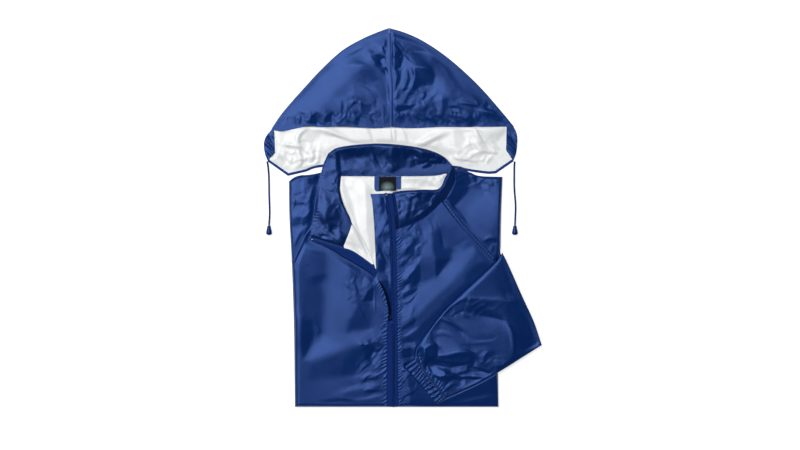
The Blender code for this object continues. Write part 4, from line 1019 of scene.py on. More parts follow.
def settled_height(x, y, marks):
    """Height of the zones and strokes at a point, read between the cells."""
    if id(marks) not in HEIGHTS:
        HEIGHTS[id(marks)] = settled(slopes(marks))
    cells = HEIGHTS[id(marks)]
    u = np.clip((x + RASTER_REACH[0]) / RASTER_CELL, 0, cells.shape[1] - 1.001)
    v = np.clip((y + RASTER_REACH[1]) / RASTER_CELL, 0, cells.shape[0] - 1.001)
    i, j = u.astype(int), v.astype(int)
    a, b = u - i, v - j
    low = cells[j, i] * (1 - a) + cells[j, i + 1] * a
    high = cells[j + 1, i] * (1 - a) + cells[j + 1, i + 1] * a
    return low * (1 - b) + high * b


def crushed(x, y, mark):
    """Height of one patch of crushed cloth."""
    cx, cy, along, across, turn, size, stretch, slope, seed = mark
    a, b = (x - cx) / along, (y - cy) / across
    window = np.exp(-np.minimum(a * a + b * b, 30.0) ** 2)
    near = window > 0.004
    height = np.zeros(np.shape(x))
    height[near] = slope * window[near] * facets(x[near], y[near], size, seed, turn, stretch)
    return height


def puckers(x, y, mark):
    """Height of one row of gathers: uneven in height, in reach and in pitch."""
    pitch, reach, top, lean, at_side, *flat = mark
    off, run, side = nearest_on(x, y, curve(np.reshape(flat, (-1, 2)), 40))
    reach_here = reach * (0.8 + 0.35 * np.sin(run / (1.7 * pitch) + 2.0))
    shown = np.exp(-(off / reach_here) ** 2)
    if at_side:
        shown = shown * (side == at_side)
    drift = 0.40 * np.sin(run / (2.3 * pitch)) + 0.26 * np.sin(run / (0.9 * pitch))
    rounded = np.cos(2 * math.pi * ((run + lean * off) / pitch + drift))
    uneven = 0.6 + 0.4 * np.sin(run / (3.1 * pitch) + 1.0) * np.cos(run / (1.3 * pitch))
    return top * uneven * shown * smoothstep(off / 1.2) * (rounded + 0.3 * rounded ** 2)


def relief(x, y, marks):
    """Height of all the marks of a piece, in millimetres."""
    height = settled_height(x, y, marks)
    for mark in marks["crushed"]:
        height += crushed(x, y, mark)
    for mark in marks["puckers"]:
        height += puckers(x, y, mark)
    return height


# Heights that the pieces lie at


def pile_top(x, y):
    """Top of the hidden layers: level under the fronts, thinner at the neck and the elbow."""
    neck = (PILE - PILE_AT_NECK) * smoothstep((y + 20) / 118)
    elbow = (PILE - PILE_AT_ELBOW) * smoothstep((x - 200) / 75) * smoothstep((-40 - y) / 40)
    return PILE - neck - elbow


def above(height, lowest):
    """The height, eased off where it would fall below the lowest."""
    return lowest + EASE * np.logaddexp(0.0, (height - lowest) / EASE)


def on_pile(x, y, level=PANEL, marks=PLAIN, covers=(), fade=FADE):
    """Height of a piece that lies on the pile and turns down at the outline."""
    base = pile_top(x, y)
    foot = EDGE_FOOT * base
    top = base + level
    depth = nearest_on(x, y, OUTLINE, closed=True)[0]
    across = np.clip(depth / EDGE_RADIUS, 0, 1)
    turned = foot + (top - foot) * np.sqrt(np.clip(1 - (1 - across) ** 2, 0, 1))
    free = smoothstep(depth / 6)
    for cover in covers:
        free = free * clear_of(x, y, cover, fade)
    at_seam = 1.0
    for seam in RAGLAN_SEAMS:
        at_seam = at_seam * smoothstep((nearest_on(x, y, seam)[0] - 5) / 9)
    return turned + above(LOFT + relief(x, y, marks) * at_seam, 0.2 - WALL) * free


def on_second(x, y):
    """Height of a piece that lies on a panel."""
    return on_pile(x, y, SECOND)


def right_front_height(x, y):
    """Height of the right front, pressed flat where the collar and the turned front lie on it."""
    return on_pile(x, y, PANEL, RIGHT_FRONT_MARKS, (FACING_COVER, TAPE_COVER, TURNED_COVER))


def left_front_height(x, y):
    """Height of the left front, pressed flat under the sleeve."""
    return on_pile(x, y, PANEL, LEFT_FRONT_MARKS, (SLEEVE_COVER,), TIGHT_FADE)


def turned_height(x, y):
    """Height of the turned tape, with a low rib where it is sewn on."""
    off = nearest_on(x, y, curve(TURNED_TAPE_TOP, COARSE))[0]
    return on_second(x, y) + 0.8 * np.exp(-((off - 4.5) / 1.6) ** 2)


def on_neck(x, y):
    """Height of the collar, which slopes from the pile down to the hood."""
    start, end = NECK_SLOPE
    on_body = pile_top(x, np.minimum(y, start)) + SECOND
    on_hood = HOOD_LINING + COLLAR_RISE * smoothstep((y - start) / 62)
    return on_body + (on_hood - on_body) * smoothstep((y - start) / (end - start))


def stand_off(x, y, cover, marks):
    """How far a collar piece stands off what it lies on, less at its rim."""
    rim = nearest_on(x, y, cover, closed=True)[0]
    return above(LOFT + relief(x, y, marks), 0.1) * (0.25 + 0.75 * smoothstep(rim / 5))


def facing_height(x, y):
    """Height of the collar's facing, which is turned out over the right front and the hood."""
    return on_neck(x, y) + stand_off(x, y, FACING_COVER, FACING_MARKS)


def collar_height(x, y):
    """Height of the collar's outer face, which rolls up from its seam."""
    height, reach = COLLAR_ROLLED
    from_seam = nearest_on(x, y, curve(COLLAR_SEAM, COARSE))[0]
    rolled = height * (1 - np.exp(-from_seam / reach)) * smoothstep((x + 20) / 45)
    return on_neck(x, y) + rolled + stand_off(x, y, COLLAR_COVER, COLLAR_MARKS)


def hood_top(x, y, rim, marks):
    """Height of the hood's upper layer, which bellies up away from its rim."""
    to_rim = nearest_on(x, y, rim)[0]
    belly = HOOD_LOFT * smoothstep(to_rim / 55) * (0.45 + 0.55 * smoothstep((y - 180) / 60))
    to_crown = nearest_on(x, y, CROWN_SEAM)[0]
    shown = smoothstep(to_rim / 16) * smoothstep((to_crown - 2) / 8)
    raised_top = HOOD_TOP + belly + relief(x, y, marks) * shown
    return np.maximum(raised_top, HOOD_TOP - 1.2 * smoothstep(to_rim / 6))


def crown_height(x, y):
    """Height beside the crown seam, where both halves of the hood meet."""
    rim = np.vstack([curve(HOOD_EDGE_LEFT, MEDIUM), curve(HOOD_EDGE_RIGHT[::-1], MEDIUM)])
    return np.maximum(hood_top(x, y, rim, HOOD_LEFT_MARKS), hood_top(x, y, rim, HOOD_RIGHT_MARKS))


def lining_height(x, y, marks):
    """The lower layer lies on the floor and rises in its wrinkles, except under the collar."""
    band = smoothstep((184 - y) / 9) * clear_of(x, y, FACING_COVER, 10)
    rim = smoothstep(np.minimum(nearest_on(x, y, LINING_RIM)[0], 60) / 12)
    for cover in CASING_COVERS:
        band = band * clear_of(x, y, cover, 9)
    return CLOTH + above(2.6 * relief(x, y, marks) + 2.5, 0.1) * band * rim


def casing_height(x, y):
    """Height of the turned-in casing, gathered along the drawcord in it."""
    wrinkled = 2.2 * np.abs(np.sin(y / 4.4 + 0.21 * x)) * np.abs(np.sin(x / 7 + y / 17))
    return HOOD_LINING - 0.3 * smoothstep((y - 160) / 14) + 0.9 * wrinkled * smoothstep((172 - y) / 10)


# What the strips and the rows of sewing lie on
GROUNDS = {
    "front_right": right_front_height,
    "front_left": left_front_height,
    "level": on_pile,
    "turned": on_second,
    "crown": crown_height,
    "facing": facing_height,
    "collar": collar_height,
    "label": lambda x, y: on_pile(x, y, THIRD) + 0.2,
    "patch": on_second,
}


# Materials


def plug(tree, node, **sockets):
    """Give each named socket its value, or a link from another node's output."""
    for name, value in sockets.items():
        socket = node.inputs[name.replace("_", " ")]
        if isinstance(value, bpy.types.NodeSocket):
            tree.links.new(value, socket)
        else:
            socket.default_value = value
    return node


def new_node(tree, kind, **sockets):
    """A shader node of this kind with its sockets set."""
    return plug(tree, tree.nodes.new("ShaderNode" + kind), **sockets)


def new_material(name, colour, roughness, **sockets):
    """A material, its node tree and its shader."""
    material = bpy.data.materials.new(name)
    material.use_nodes = True
    tree = material.node_tree
    shader = plug(tree, tree.nodes["Principled BSDF"], Base_Color=(*colour, 1.0), Roughness=roughness,
                  **sockets)
    return material, tree, shader


def noise(tree, place, scale, detail=3.0, rough=0.55):
    """Soft noise at a place, from 0 to 1."""
    node = new_node(tree, "TexNoise", Vector=place, Scale=scale, Detail=detail, Roughness=rough)
    return node.outputs["Fac"]


def ramp(tree, value, low, high, low_at=0.3, high_at=0.7):
    """A colour that goes from low to high as the value does from low_at to high_at."""
    node = new_node(tree, "ValToRGB", Fac=value)
    for element, colour, at in zip(node.color_ramp.elements, (low, high), (low_at, high_at)):
        element.position = at
        element.color = (*colour, 1.0)
    return node.outputs["Color"]


def spread(tree, value, low, high, start=0.25, end=0.75):
    """A value that goes from low to high as the one given does from start to end."""
    node = new_node(tree, "MapRange", Value=value, From_Min=start, From_Max=end, To_Min=low, To_Max=high)
    return node.outputs["Result"]


def bump(tree, height, strength, distance, **below):
    """A normal that follows the height; below may give the Normal that it starts from."""
    node = new_node(tree, "Bump", Height=height, Strength=strength, Distance=distance, **below)
    return node.outputs["Normal"]


def combined(tree, operation, first, second):
    """Two values put together by a Math node."""
    node = new_node(tree, "Math")
    node.operation = operation
    tree.links.new(first, node.inputs[0])
    tree.links.new(second, node.inputs[1])
    return node.outputs["Value"]


def weave(tree, place, period, turn=0.0):
    """Warp and weft threads that cross at right angles."""
    turned = new_node(tree, "Mapping", Vector=place, Rotation=(0, 0, math.radians(turn)))
    threads = []
    for direction in ("X", "Y"):
        wave = new_node(tree, "TexWave", Vector=turned.outputs["Vector"], Scale=WAVE_LENGTH / period,
                        Distortion=0.4)
        wave.bands_direction = direction
        threads.append(wave.outputs["Fac"])
    return combined(tree, "MAXIMUM", *threads)


def place_of(tree):
    """The place on the piece, in metres."""
    return new_node(tree, "TexCoord").outputs["Object"]


def nylon(name, dark, light, turn=0.0):
    """Coated taffeta: a fine weave under a soft gloss, with small crinkles."""
    material, tree, shader = new_material(name, light, 0.3, Specular_IOR_Level=0.68,
                                          Specular_Tint=GLOSS_TINT)
    place = place_of(tree)
    fine = bump(tree, weave(tree, place, 0.0005, turn), 0.12, 0.0002)
    plug(tree, shader,
         Base_Color=ramp(tree, noise(tree, place, 22.0), dark, light),
         Roughness=spread(tree, noise(tree, place, 60.0), 0.27, 0.33),
         Normal=bump(tree, noise(tree, place, 90.0, 2.0, 0.45), 0.14, 0.0012, Normal=fine))
    return material


def coating():
    """The white coated inside: smooth and a little shiny, with grey in its creases."""
    material, tree, shader = new_material("white_coating", (0.8, 0.81, 0.8), 0.34, Specular_IOR_Level=0.45)
    place = place_of(tree)
    fine = bump(tree, weave(tree, place, 0.0006), 0.1, 0.0002)
    plug(tree, shader,
         Base_Color=ramp(tree, noise(tree, place, 30.0, 4.0), (0.74, 0.75, 0.74), (0.81, 0.82, 0.81)),
         Roughness=spread(tree, noise(tree, place, 80.0), 0.30, 0.38),
         Normal=bump(tree, noise(tree, place, 120.0, 3.0, 0.5), 0.2, 0.001, Normal=fine))
    return material


def tape_cloth(name, dark, light, turn=0.0):
    """Dense woven tape, matt beside the nylon."""
    material, tree, shader = new_material(name, light, 0.62, Sheen_Weight=0.1, Sheen_Roughness=0.4,
                                          Specular_IOR_Level=0.3, Specular_Tint=GLOSS_TINT,
                                          Sheen_Tint=GLOSS_TINT)
    place = place_of(tree)
    threads = weave(tree, place, 0.0009, turn)
    plug(tree, shader,
         Base_Color=ramp(tree, threads, dark, light, 0.0, 1.0),
         Roughness=spread(tree, noise(tree, place, 200.0), 0.55, 0.7),
         Normal=bump(tree, threads, 0.5, 0.0003))
    return material


def label_cloth():
    """A dark woven label with a soft pale patch near its foot and nothing written on it."""
    material, tree, shader = new_material("label_cloth", (0.02, 0.03, 0.04), 0.7, Specular_IOR_Level=0.12)
    place = place_of(tree)
    left, right, low = NECK_LABEL[:3]
    centre = (-(left + right) / 2 * MM, -(low + 7) * MM, 0)
    moved = new_node(tree, "Mapping", Vector=place, Location=centre)
    wide = new_node(tree, "Mapping", Vector=moved.outputs["Vector"], Scale=(52.0, 62.0, 0.0))
    ball = new_node(tree, "TexGradient", Vector=wide.outputs["Vector"])
    ball.gradient_type = "SPHERICAL"
    mottled = combined(tree, "MULTIPLY", ball.outputs["Fac"], noise(tree, place, 420.0, 4.0, 0.7))
    plug(tree, shader,
         Base_Color=ramp(tree, mottled, (0.004, 0.006, 0.008), (0.20, 0.31, 0.29), 0.12, 0.55),
         Normal=bump(tree, weave(tree, place, 0.0008), 0.5, 0.0003))
    return material


def hard(name, colour, roughness, metallic):
    """Lacquered metal or moulded plastic with faint handling marks."""
    material, tree, shader = new_material(name, colour, roughness, Metallic=metallic,
                                          Specular_Tint=GLOSS_TINT)
    place = place_of(tree)
    plug(tree, shader,
         Roughness=spread(tree, noise(tree, place, 700.0, 4.0), roughness * 0.8, roughness * 1.3),
         Normal=bump(tree, noise(tree, place, 500.0, 2.0), 0.15, 0.0002))
    return material


BLUE = nylon("nylon_blue", (0.0009, 0.0145, 0.084), (0.0015, 0.0185, 0.100))
# The sleeve's own copy of the nylon: its weave turns another way, and it is a little darker as painted shade
BLUE_SLEEVE_SHADED = nylon("nylon_blue_sleeve_painted_shade", (0.0008, 0.0135, 0.080), (0.0014, 0.0175, 0.096), turn=-50)
# A darker copy of the nylon for the collar and its facing: painted shade for their deep folds, with its weave
# turned
BLUE_COLLAR_PAINTED_SHADE = nylon("nylon_blue_collar_painted_shade", (0.0006, 0.0105, 0.063), (0.0011, 0.0135, 0.076), turn=20)
WHITE = coating()
TAPE = tape_cloth("zip_tape", (0.0010, 0.011, 0.078), (0.0028, 0.021, 0.135))
BOUND = tape_cloth("binding_tape", (0.006, 0.022, 0.120), (0.014, 0.042, 0.190), turn=45)
LABEL = label_cloth()
CORD = tape_cloth("cord_braid", (0.005, 0.015, 0.085), (0.009, 0.024, 0.120), turn=35)
METAL = hard("zip_metal", (0.012, 0.034, 0.190), 0.2, 0.6)
STOP_METAL = hard("stop_metal", (0.42, 0.46, 0.60), 0.4, 0.8)
BELL = hard("bell_plastic", (0.002, 0.013, 0.080), 0.2, 0.0)
TEETH = hard("coil_plastic", (0.002, 0.010, 0.070), 0.35, 0.0)
SHADE = hard("deep_shade", (0.0002, 0.0012, 0.008), 0.9, 0.0)
THREAD = tape_cloth("thread", (0.018, 0.045, 0.220), (0.034, 0.080, 0.320))


# Building blocks


def grid_mesh(name, points, keep=None):
    """A mesh from rows of points, with sharp rims; keep drops faces."""
    rows, columns = points.shape[:2]
    bm = bmesh.new()
    bmesh.ops.create_grid(bm, x_segments=columns - 1, y_segments=rows - 1, size=1)
    bm.verts.ensure_lookup_table()
    for vert, point in zip(bm.verts, (points.reshape(-1, 3) * MM).tolist()):
        vert.co = point
    if keep is not None:
        bm.faces.ensure_lookup_table()
        out = [face for face, kept in zip(bm.faces, keep.ravel()) if not kept]
        bmesh.ops.delete(bm, geom=out, context="FACES")
        bmesh.ops.delete(bm, geom=[vert for vert in bm.verts if not vert.link_faces], context="VERTS")
    bmesh.ops.remove_doubles(bm, verts=bm.verts, dist=0.01 * MM)
    for face in bm.faces:
        face.smooth = True
    for rim in bm.edges:
        rim.smooth = not rim.is_boundary
    mesh = bpy.data.meshes.new(name)
    bm.to_mesh(mesh)
    bm.free()
    return mesh


def closed_mesh(name, points, faces):
    """A smooth closed mesh from points in millimetres and faces of point numbers."""
    mesh = bpy.data.meshes.new(name)
    mesh.from_pydata((points * MM).tolist(), [], faces)
    bm = bmesh.new()
    bm.from_mesh(mesh)
    bmesh.ops.remove_doubles(bm, verts=bm.verts, dist=0.001 * MM)
    bmesh.ops.recalc_face_normals(bm, faces=bm.faces)
    bm.to_mesh(mesh)
    bm.free()
    mesh.shade_smooth()
    return mesh


def ring_faces(rings, sides):
    """Faces between rings of points, each ring joined to the next."""
    pairs = [(k, (k + 1) % sides) for k in range(sides)]
    return [(i * sides + k, i * sides + j, (i + 1) * sides + j, (i + 1) * sides + k)
            for i in range(rings - 1) for k, j in pairs]


def capped(rings, sides):
    """The faces between rings, and one at each end."""
    last = (rings - 1) * sides
    return ring_faces(rings, sides) + [tuple(range(sides))[::-1], tuple(range(last, last + sides))]


def turns_of(sides):
    """Angles round a ring, one for each side."""
    return 2 * math.pi * np.arange(sides) / sides


def add(name, mesh, materials, replaced=()):
    """A piece of the coat, in place of the solids that it replaces."""
    for material in materials:
        mesh.materials.append(material)
    piece = bpy.data.objects.new(name, mesh)
    bpy.context.scene.collection.objects.link(piece)
    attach(piece, "coat")
    if replaced:
        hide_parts(*replaced)
    return piece


def cloth(name, points, node, rests_on, held="folded", materials=(BLUE, WHITE), slot="shell_blue",
          keep=None, inner=False):
    """A thin closed shell whose outer face has the points given."""
    mesh = grid_mesh(name, points, keep)
    if inner:
        mesh.flip_normals()
    piece = add(name, mesh, materials, (node,) if node else ())
    wall = piece.modifiers.new("wall", "SOLIDIFY")
    wall.thickness = CLOTH * MM
    wall.offset = -1
    wall.material_offset = len(materials) - 1


def laid(name, plan, height, node, rests_on=("hidden_layers",), **looks):
    """A cloth piece over a plan, at the height that the function gives."""
    z = height(plan[..., 0], plan[..., 1])
    across = (plan[:, -1] - plan[:, 0]).mean(axis=0)
    along = (plan[-1] - plan[0]).mean(axis=0)
    mirrored = across[0] * along[1] < across[1] * along[0]
    cloth(name, raised(plan, z), node, rests_on, "laid", inner=mirrored, **looks)


def scatter(name, places, ways, length, radius, material):
    """Many small rounded bars as one mesh: each lies at its place along its way."""
    sides = 6
    bar = np.array([(share * length, radius * r * math.cos(a), radius * r * math.sin(a))
                    for share, r in BAR_PROFILE for a in turns_of(sides)])
    faces = ring_faces(len(BAR_PROFILE), sides)
    points, all_faces = [], []
    for place, along in zip(places, unit(ways)):
        across = np.cross((0, 0, 1), along)
        across /= np.linalg.norm(across)
        base = len(points) * len(bar)
        points.append(place + bar @ np.stack([along, across, np.cross(along, across)]))
        all_faces += [tuple(base + k for k in face) for face in faces]
    add(name, closed_mesh(name, np.vstack(points), all_faces), [material])


# Pieces
# A length that is given to steps is the piece's rough size, in millimetres.


def folded_layers():
    """The hidden layers: three rounded folds show at the side under the panels' edges."""
    ring = outline(4.0)
    to_next = unit(np.roll(ring, -1, axis=0) - ring)
    both = to_next + np.roll(to_next, 1, axis=0)
    inward = unit(np.stack([-both[:, 1], both[:, 0]], axis=1))
    mitre = np.clip((inward * np.stack([-to_next[:, 1], to_next[:, 0]], axis=1)).sum(1), 0.5, 1)
    around = turns_of(len(ring))
    folds = 3
    profile = []
    for fold in range(folds):
        for k in range(7):
            angle = math.pi * (k / 6 - 0.5)
            bulge = 1.7 * (1 - math.cos(angle)) + 0.15
            share = EDGE_FOOT * 0.92 * (fold + 0.5 + 0.49 * math.sin(angle)) / folds
            profile.append((share, bulge, fold))
    profile += [(0.44, 2.8, folds), (0.75, 3.8, folds), (0.90, 5.6, folds), (0.99, 9.5, folds)]
    rings = []
    for share, inset, fold in profile:
        wave = 0.55 * (1 + np.sin(around * (17 + 5 * fold) + 2.1 * fold) * np.sin(around * (7 + 2 * fold)))
        sway = 0.012 * np.sin(around * (23 + 3 * fold) + fold) * (share > 0.02)
        at = ring + inward * ((inset + (wave if fold < folds else 0.5)) / mitre)[:, None]
        z = np.clip(share + sway, 0.0, 1.0) * pile_top(at[:, 0], at[:, 1])
        rings.append(np.column_stack([at, z]))
    mesh = closed_mesh("hidden_layers", np.vstack(rings), capped(len(rings), len(ring)))
    add("hidden_layers", mesh, [BLUE, SHADE], ("folded_layers",))
    mesh.polygons[-1].material_index = 1    # the top, which shows only in slits, is in deep shade


def fronts():
    """The two front panels and the shoulders of the two raglan sleeves."""
    half = SEAM / 2
    raglan = curve(SEAM_RIGHT_RAGLAN, COARSE)
    raglan_foot, raglan_top = raglan[0], raglan[-1]
    body_side = curve(BODY_LEFT[::-1], MEDIUM)
    shoulders = curve(SHOULDERS[::-1], MEDIUM)

    side = body_side[body_side[:, 1] < raglan_foot[1] - 1]
    left = np.vstack([side, shifted(raglan, -half)])
    right = shifted(joined(OPENING_EDGE, ROLL_LINE, COLLAR_ROLL), half)
    plan = patch(left, right, (left[0], right[0]), (left[-1], right[-1]),
                 lambda width: steps(185 / SPACING, turn_start=width), steps(530 / SPACING, turn_start=530))
    laid("front_right_panel", plan, right_front_height, "front_right")

    top = joined(shifted(curve(NECK_SEAM_LEFT, COARSE), -half),
                 shifted(curve(SEAM_LEFT_RAGLAN, COARSE), -half))
    right = joined(BODY_RIGHT_LOW, UNDER_SLEEVE_STEP, UNDER_SLEEVE)
    right[-1] = top[-1]
    left = shifted(curve(ZIP_LEFT_SEAM, FINE), -half)
    left = left[left[:, 1] < NECK_SEAM_LEFT[0][1] - 0.5]
    plan = patch(left, right, (left[0], right[0]), top, steps(200 / SPACING, turn_end=196),
                 steps(350 / SPACING, turn_start=350))
    laid("front_left_panel", plan, left_front_height, "front_left")

    left = body_side[body_side[:, 1] > raglan_foot[1] + 0.5]
    top = shoulders[shoulders[:, 0] < raglan_top[0] - 0.5]
    right = shifted(raglan, half)
    plan = patch(left, right, (left[0], right[0]), np.vstack([left[-1:], top[1:], right[-1:]]),
                 lambda width: steps(70 / SPACING, turn_start=max(width, 14)),
                 np.concatenate([[0, 0.02, 0.05], steps(175 / SPACING, turn_end=170)[1:]]))
    laid("sleeve_right_shoulder", plan,
         lambda x, y: on_pile(x, y, PANEL, RIGHT_SHOULDER_MARKS, (FACING_COVER,)), "sleeve_right_upper")

    bottom = shifted(curve(SEAM_LEFT_RAGLAN, COARSE), half)
    left = shifted(curve(NECK_SEAM_SHOULDER, COARSE), -half)
    high = curve(BODY_RIGHT_HIGH, MEDIUM)
    right = np.vstack([bottom[-1:], curve(SLEEVE_TUCK, 30)[2:], high[high[:, 1] > SLEEVE_TUCK[-1][1] + 1]])
    top = shoulders[shoulders[:, 0] > NECK_SEAM_SHOULDER[-1][0] + 0.5]
    plan = patch(left, right, bottom, np.vstack([left[-1:], top[:-1], right[-1:]]),
                 lambda width: steps(100 / SPACING, turn_end=width), steps(130 / SPACING, turn_end=130))
    laid("sleeve_left_shoulder", plan,
         lambda x, y: on_pile(x, y, PANEL, LEFT_SHOULDER_MARKS, (SLEEVE_COVER,)), "sleeve_left_upper")


def neck_opening():
    """What shows in the open neck: the back's inside, the storm flap, the turned front and the label."""
    white_out = {"materials": (WHITE, BLUE), "slot": "coating_white"}
    roll = shifted(joined(ROLL_LINE, COLLAR_ROLL), -SEAM)
    corner = np.array(BEHIND_COLLAR[0]) + (-SEAM, SEAM)
    flap = np.vstack([shifted(curve(FLAP_LEFT, COARSE), SEAM)[:-1], corner])
    behind = np.vstack([corner, shifted(curve(BEHIND_COLLAR, COARSE), SEAM)[1:]])
    neck = np.vstack([roll[-1:], shifted(curve(BACK_NECK, COARSE), -SEAM)[1:]])
    low, high = ribbon(roll, flap, steps(30), steps(90)), ribbon(neck, behind, steps(30), steps(110))
    laid("back_inside", np.concatenate([low, high[1:]]),
         lambda x, y: on_pile(x, y, PANEL, WHITE_BACK_MARKS, (FACING_COVER, COLLAR_COVER), TIGHT_FADE),
         "back_panel", **white_out)

    opening = curve(OPENING_EDGE, FINE)
    opening = opening[(opening[:, 1] > SLIDER_Y + 10) & (opening[:, 1] < FLAP_LEFT[0][1] - 3)]
    # The gap between the front's edge and the flap: none at its top, 5 mm below, 2 mm at the slider
    y = opening[:, 1:]
    apart = SEAM + 5.0 * smoothstep((-114 - y) / 34) * (1 - 0.6 * smoothstep((-188 - y) / 14))
    left = np.vstack([shifted(opening, -apart), shifted(curve(FLAP_LEFT, COARSE), -SEAM / 2)])
    right = shifted(curve(ZIP_LEFT_COIL, FINE), COIL + SEAM)
    right = right[right[:, 1] > SLIDER_Y + 10]
    laid("inner_storm_flap", ribbon(left, right, steps(16), steps(125)),
         lambda x, y: on_pile(x, y, PANEL, FLAP_MARKS), "storm_flap")

    crease = curve(ROLL_LINE[::-1], 121)
    crease = crease[(crease[:, 1] < TURNED_TOP) & (crease[:, 0] < TURNED_TIP)]
    seam = shifted(curve(FACING_SEAM_SIDE, FINE), 3 * SEAM)
    seam = seam[(seam[:, 1] < TURNED_TOP) & (seam[:, 1] > FACING_SEAM_SIDE[-1][1] + 1)]
    low = shifted(curve(TURNED_TAPE_TOP, FINE), SEAM)
    low = low[(low[:, 0] > seam[-1, 0] + 1) & (low[:, 0] < TURNED_LOW_TIP)]
    plan = patch(crease, low, np.vstack([crease[:1], seam[1:], low[:1]]), (crease[-1], low[-1]), steps(20),
                 steps(45))
    laid("front_inside_out", plan, lambda x, y: on_pile(x, y, SECOND, TURNED_FRONT_MARKS),
         "front_turned_back", ["front_right_panel"], **white_out)

    x0, x1, y0, y1 = LABEL_PATCH
    corner = 5
    plan = patch(((x0 + corner, y0), (x0, y0 + corner), (x0, y1)), ((x1, y0 + corner), (x1, y1)),
                 ((x0 + corner, y0), (x1, y0 + corner)), ((x0, y1), (x1, y1)), steps(26), steps(16))
    laid("label_backing", plan, on_second, "label_patch", ["back_inside"])
    laid("woven_label", rectangle(*NECK_LABEL, steps(18), steps(15)),
         lambda x, y: on_pile(x, y, THIRD) + 0.3 * np.sin(x / 7) * np.sin(y / 9), "neck_label",
         ["label_backing"], materials=(LABEL,), slot="label_dark")


def collar():
    """The collar's facing, turned out over the right front, and its outer face at the left."""
    back = ribbon(FACING_SEAM_BACK, FACING_TOP_BACK, steps(30), steps(240 / SPACING))
    side = ribbon(FACING_SEAM_SIDE, FACING_TOP_SIDE, steps(30), steps(160 / SPACING))
    # Both collar pieces wear the darker copy of the nylon, which is painted shade
    dark = (BLUE_COLLAR_PAINTED_SHADE, BLUE)
    laid("collar_inner_face", np.concatenate([back, side[1:]]), facing_height, "collar_facing",
         ["front_right_panel", "hood_half_left"], materials=dark)
    plan = patch(COLLAR_SEAM, COLLAR_TOP, (COLLAR_SEAM[0], COLLAR_TOP[0]),
                 (COLLAR_SEAM[-1], COLLAR_TOP[-1]), steps(34), steps(90))
    laid("collar_outer_face", plan, collar_height, "collar_outer", ["back_inside"], materials=dark)


def zipper():
    """The zip's tapes: together below the slider, apart above it."""
    woven = {"materials": (TAPE,), "slot": "tape_blue"}
    coil = curve(ZIP_LEFT_COIL, FINE)
    opened = smoothstep((coil[:, 1] - SLIDER_Y) / 10)
    beside_coil = coil + np.stack([SEAM / 2 - COIL * opened, np.zeros(len(coil))], axis=1)
    sewn = shifted(curve(ZIP_LEFT_SEAM, FINE), SEAM / 2)
    laid("tape_left", ribbon(beside_coil, sewn, steps(8), steps(210, turn_start=430)), on_pile,
         "zip_tape_left", **woven)

    left = shifted(curve(OPENING_EDGE, FINE), -SEAM)
    left = left[left[:, 1] < SLIDER_Y + 8]
    right = np.stack([beside_coil[:, 0] - SEAM, beside_coil[:, 1]], axis=1)
    right = right[right[:, 1] < SLIDER_Y + 8]
    laid("tape_right", ribbon(left, right, steps(8), steps(85, turn_start=170)), on_pile, "zip_tape_right",
         **woven)
    laid("tape_turned", ribbon(TURNED_TAPE_TOP, TURNED_TAPE_LOW, steps(8), steps(75)), turned_height,
         "zip_tape_turned", ["front_right_panel"], **woven)


def zip_coils():
    """The coil's turns: closed below the slider, one row on each tape above it."""
    coil = curve(ZIP_LEFT_COIL, 400)
    below = coil[coil[:, 1] < SLIDER_Y - 4]
    beyond = coil[coil[:, 1] > SLIDER_Y + 4]
    turned = shifted(curve(TURNED_TAPE_LOW, 200), 1.4)
    turned = turned[turned[:, 0] < -58]
    places, ways = [], []
    for line, offset, level in ((below, -1.1, PANEL), (below, 1.1, PANEL), (beyond, 1.0, PANEL),
                                (turned, 0.0, SECOND)):
        at = respace(line, int(length_of(line) / COIL_PITCH))
        along, left = directions(at)
        at = at - left * offset + along * (0.5 * COIL_PITCH * (offset < 0))
        places.append(np.column_stack([at, on_pile(at[:, 0], at[:, 1], level) + 0.35]))
        ways.append(np.column_stack([0.22 * along - left, np.zeros(len(at))]))
    scatter("zip_coil", np.vstack(places), np.vstack(ways), COIL_BAR_LENGTH, COIL_BAR_RADIUS, TEETH)


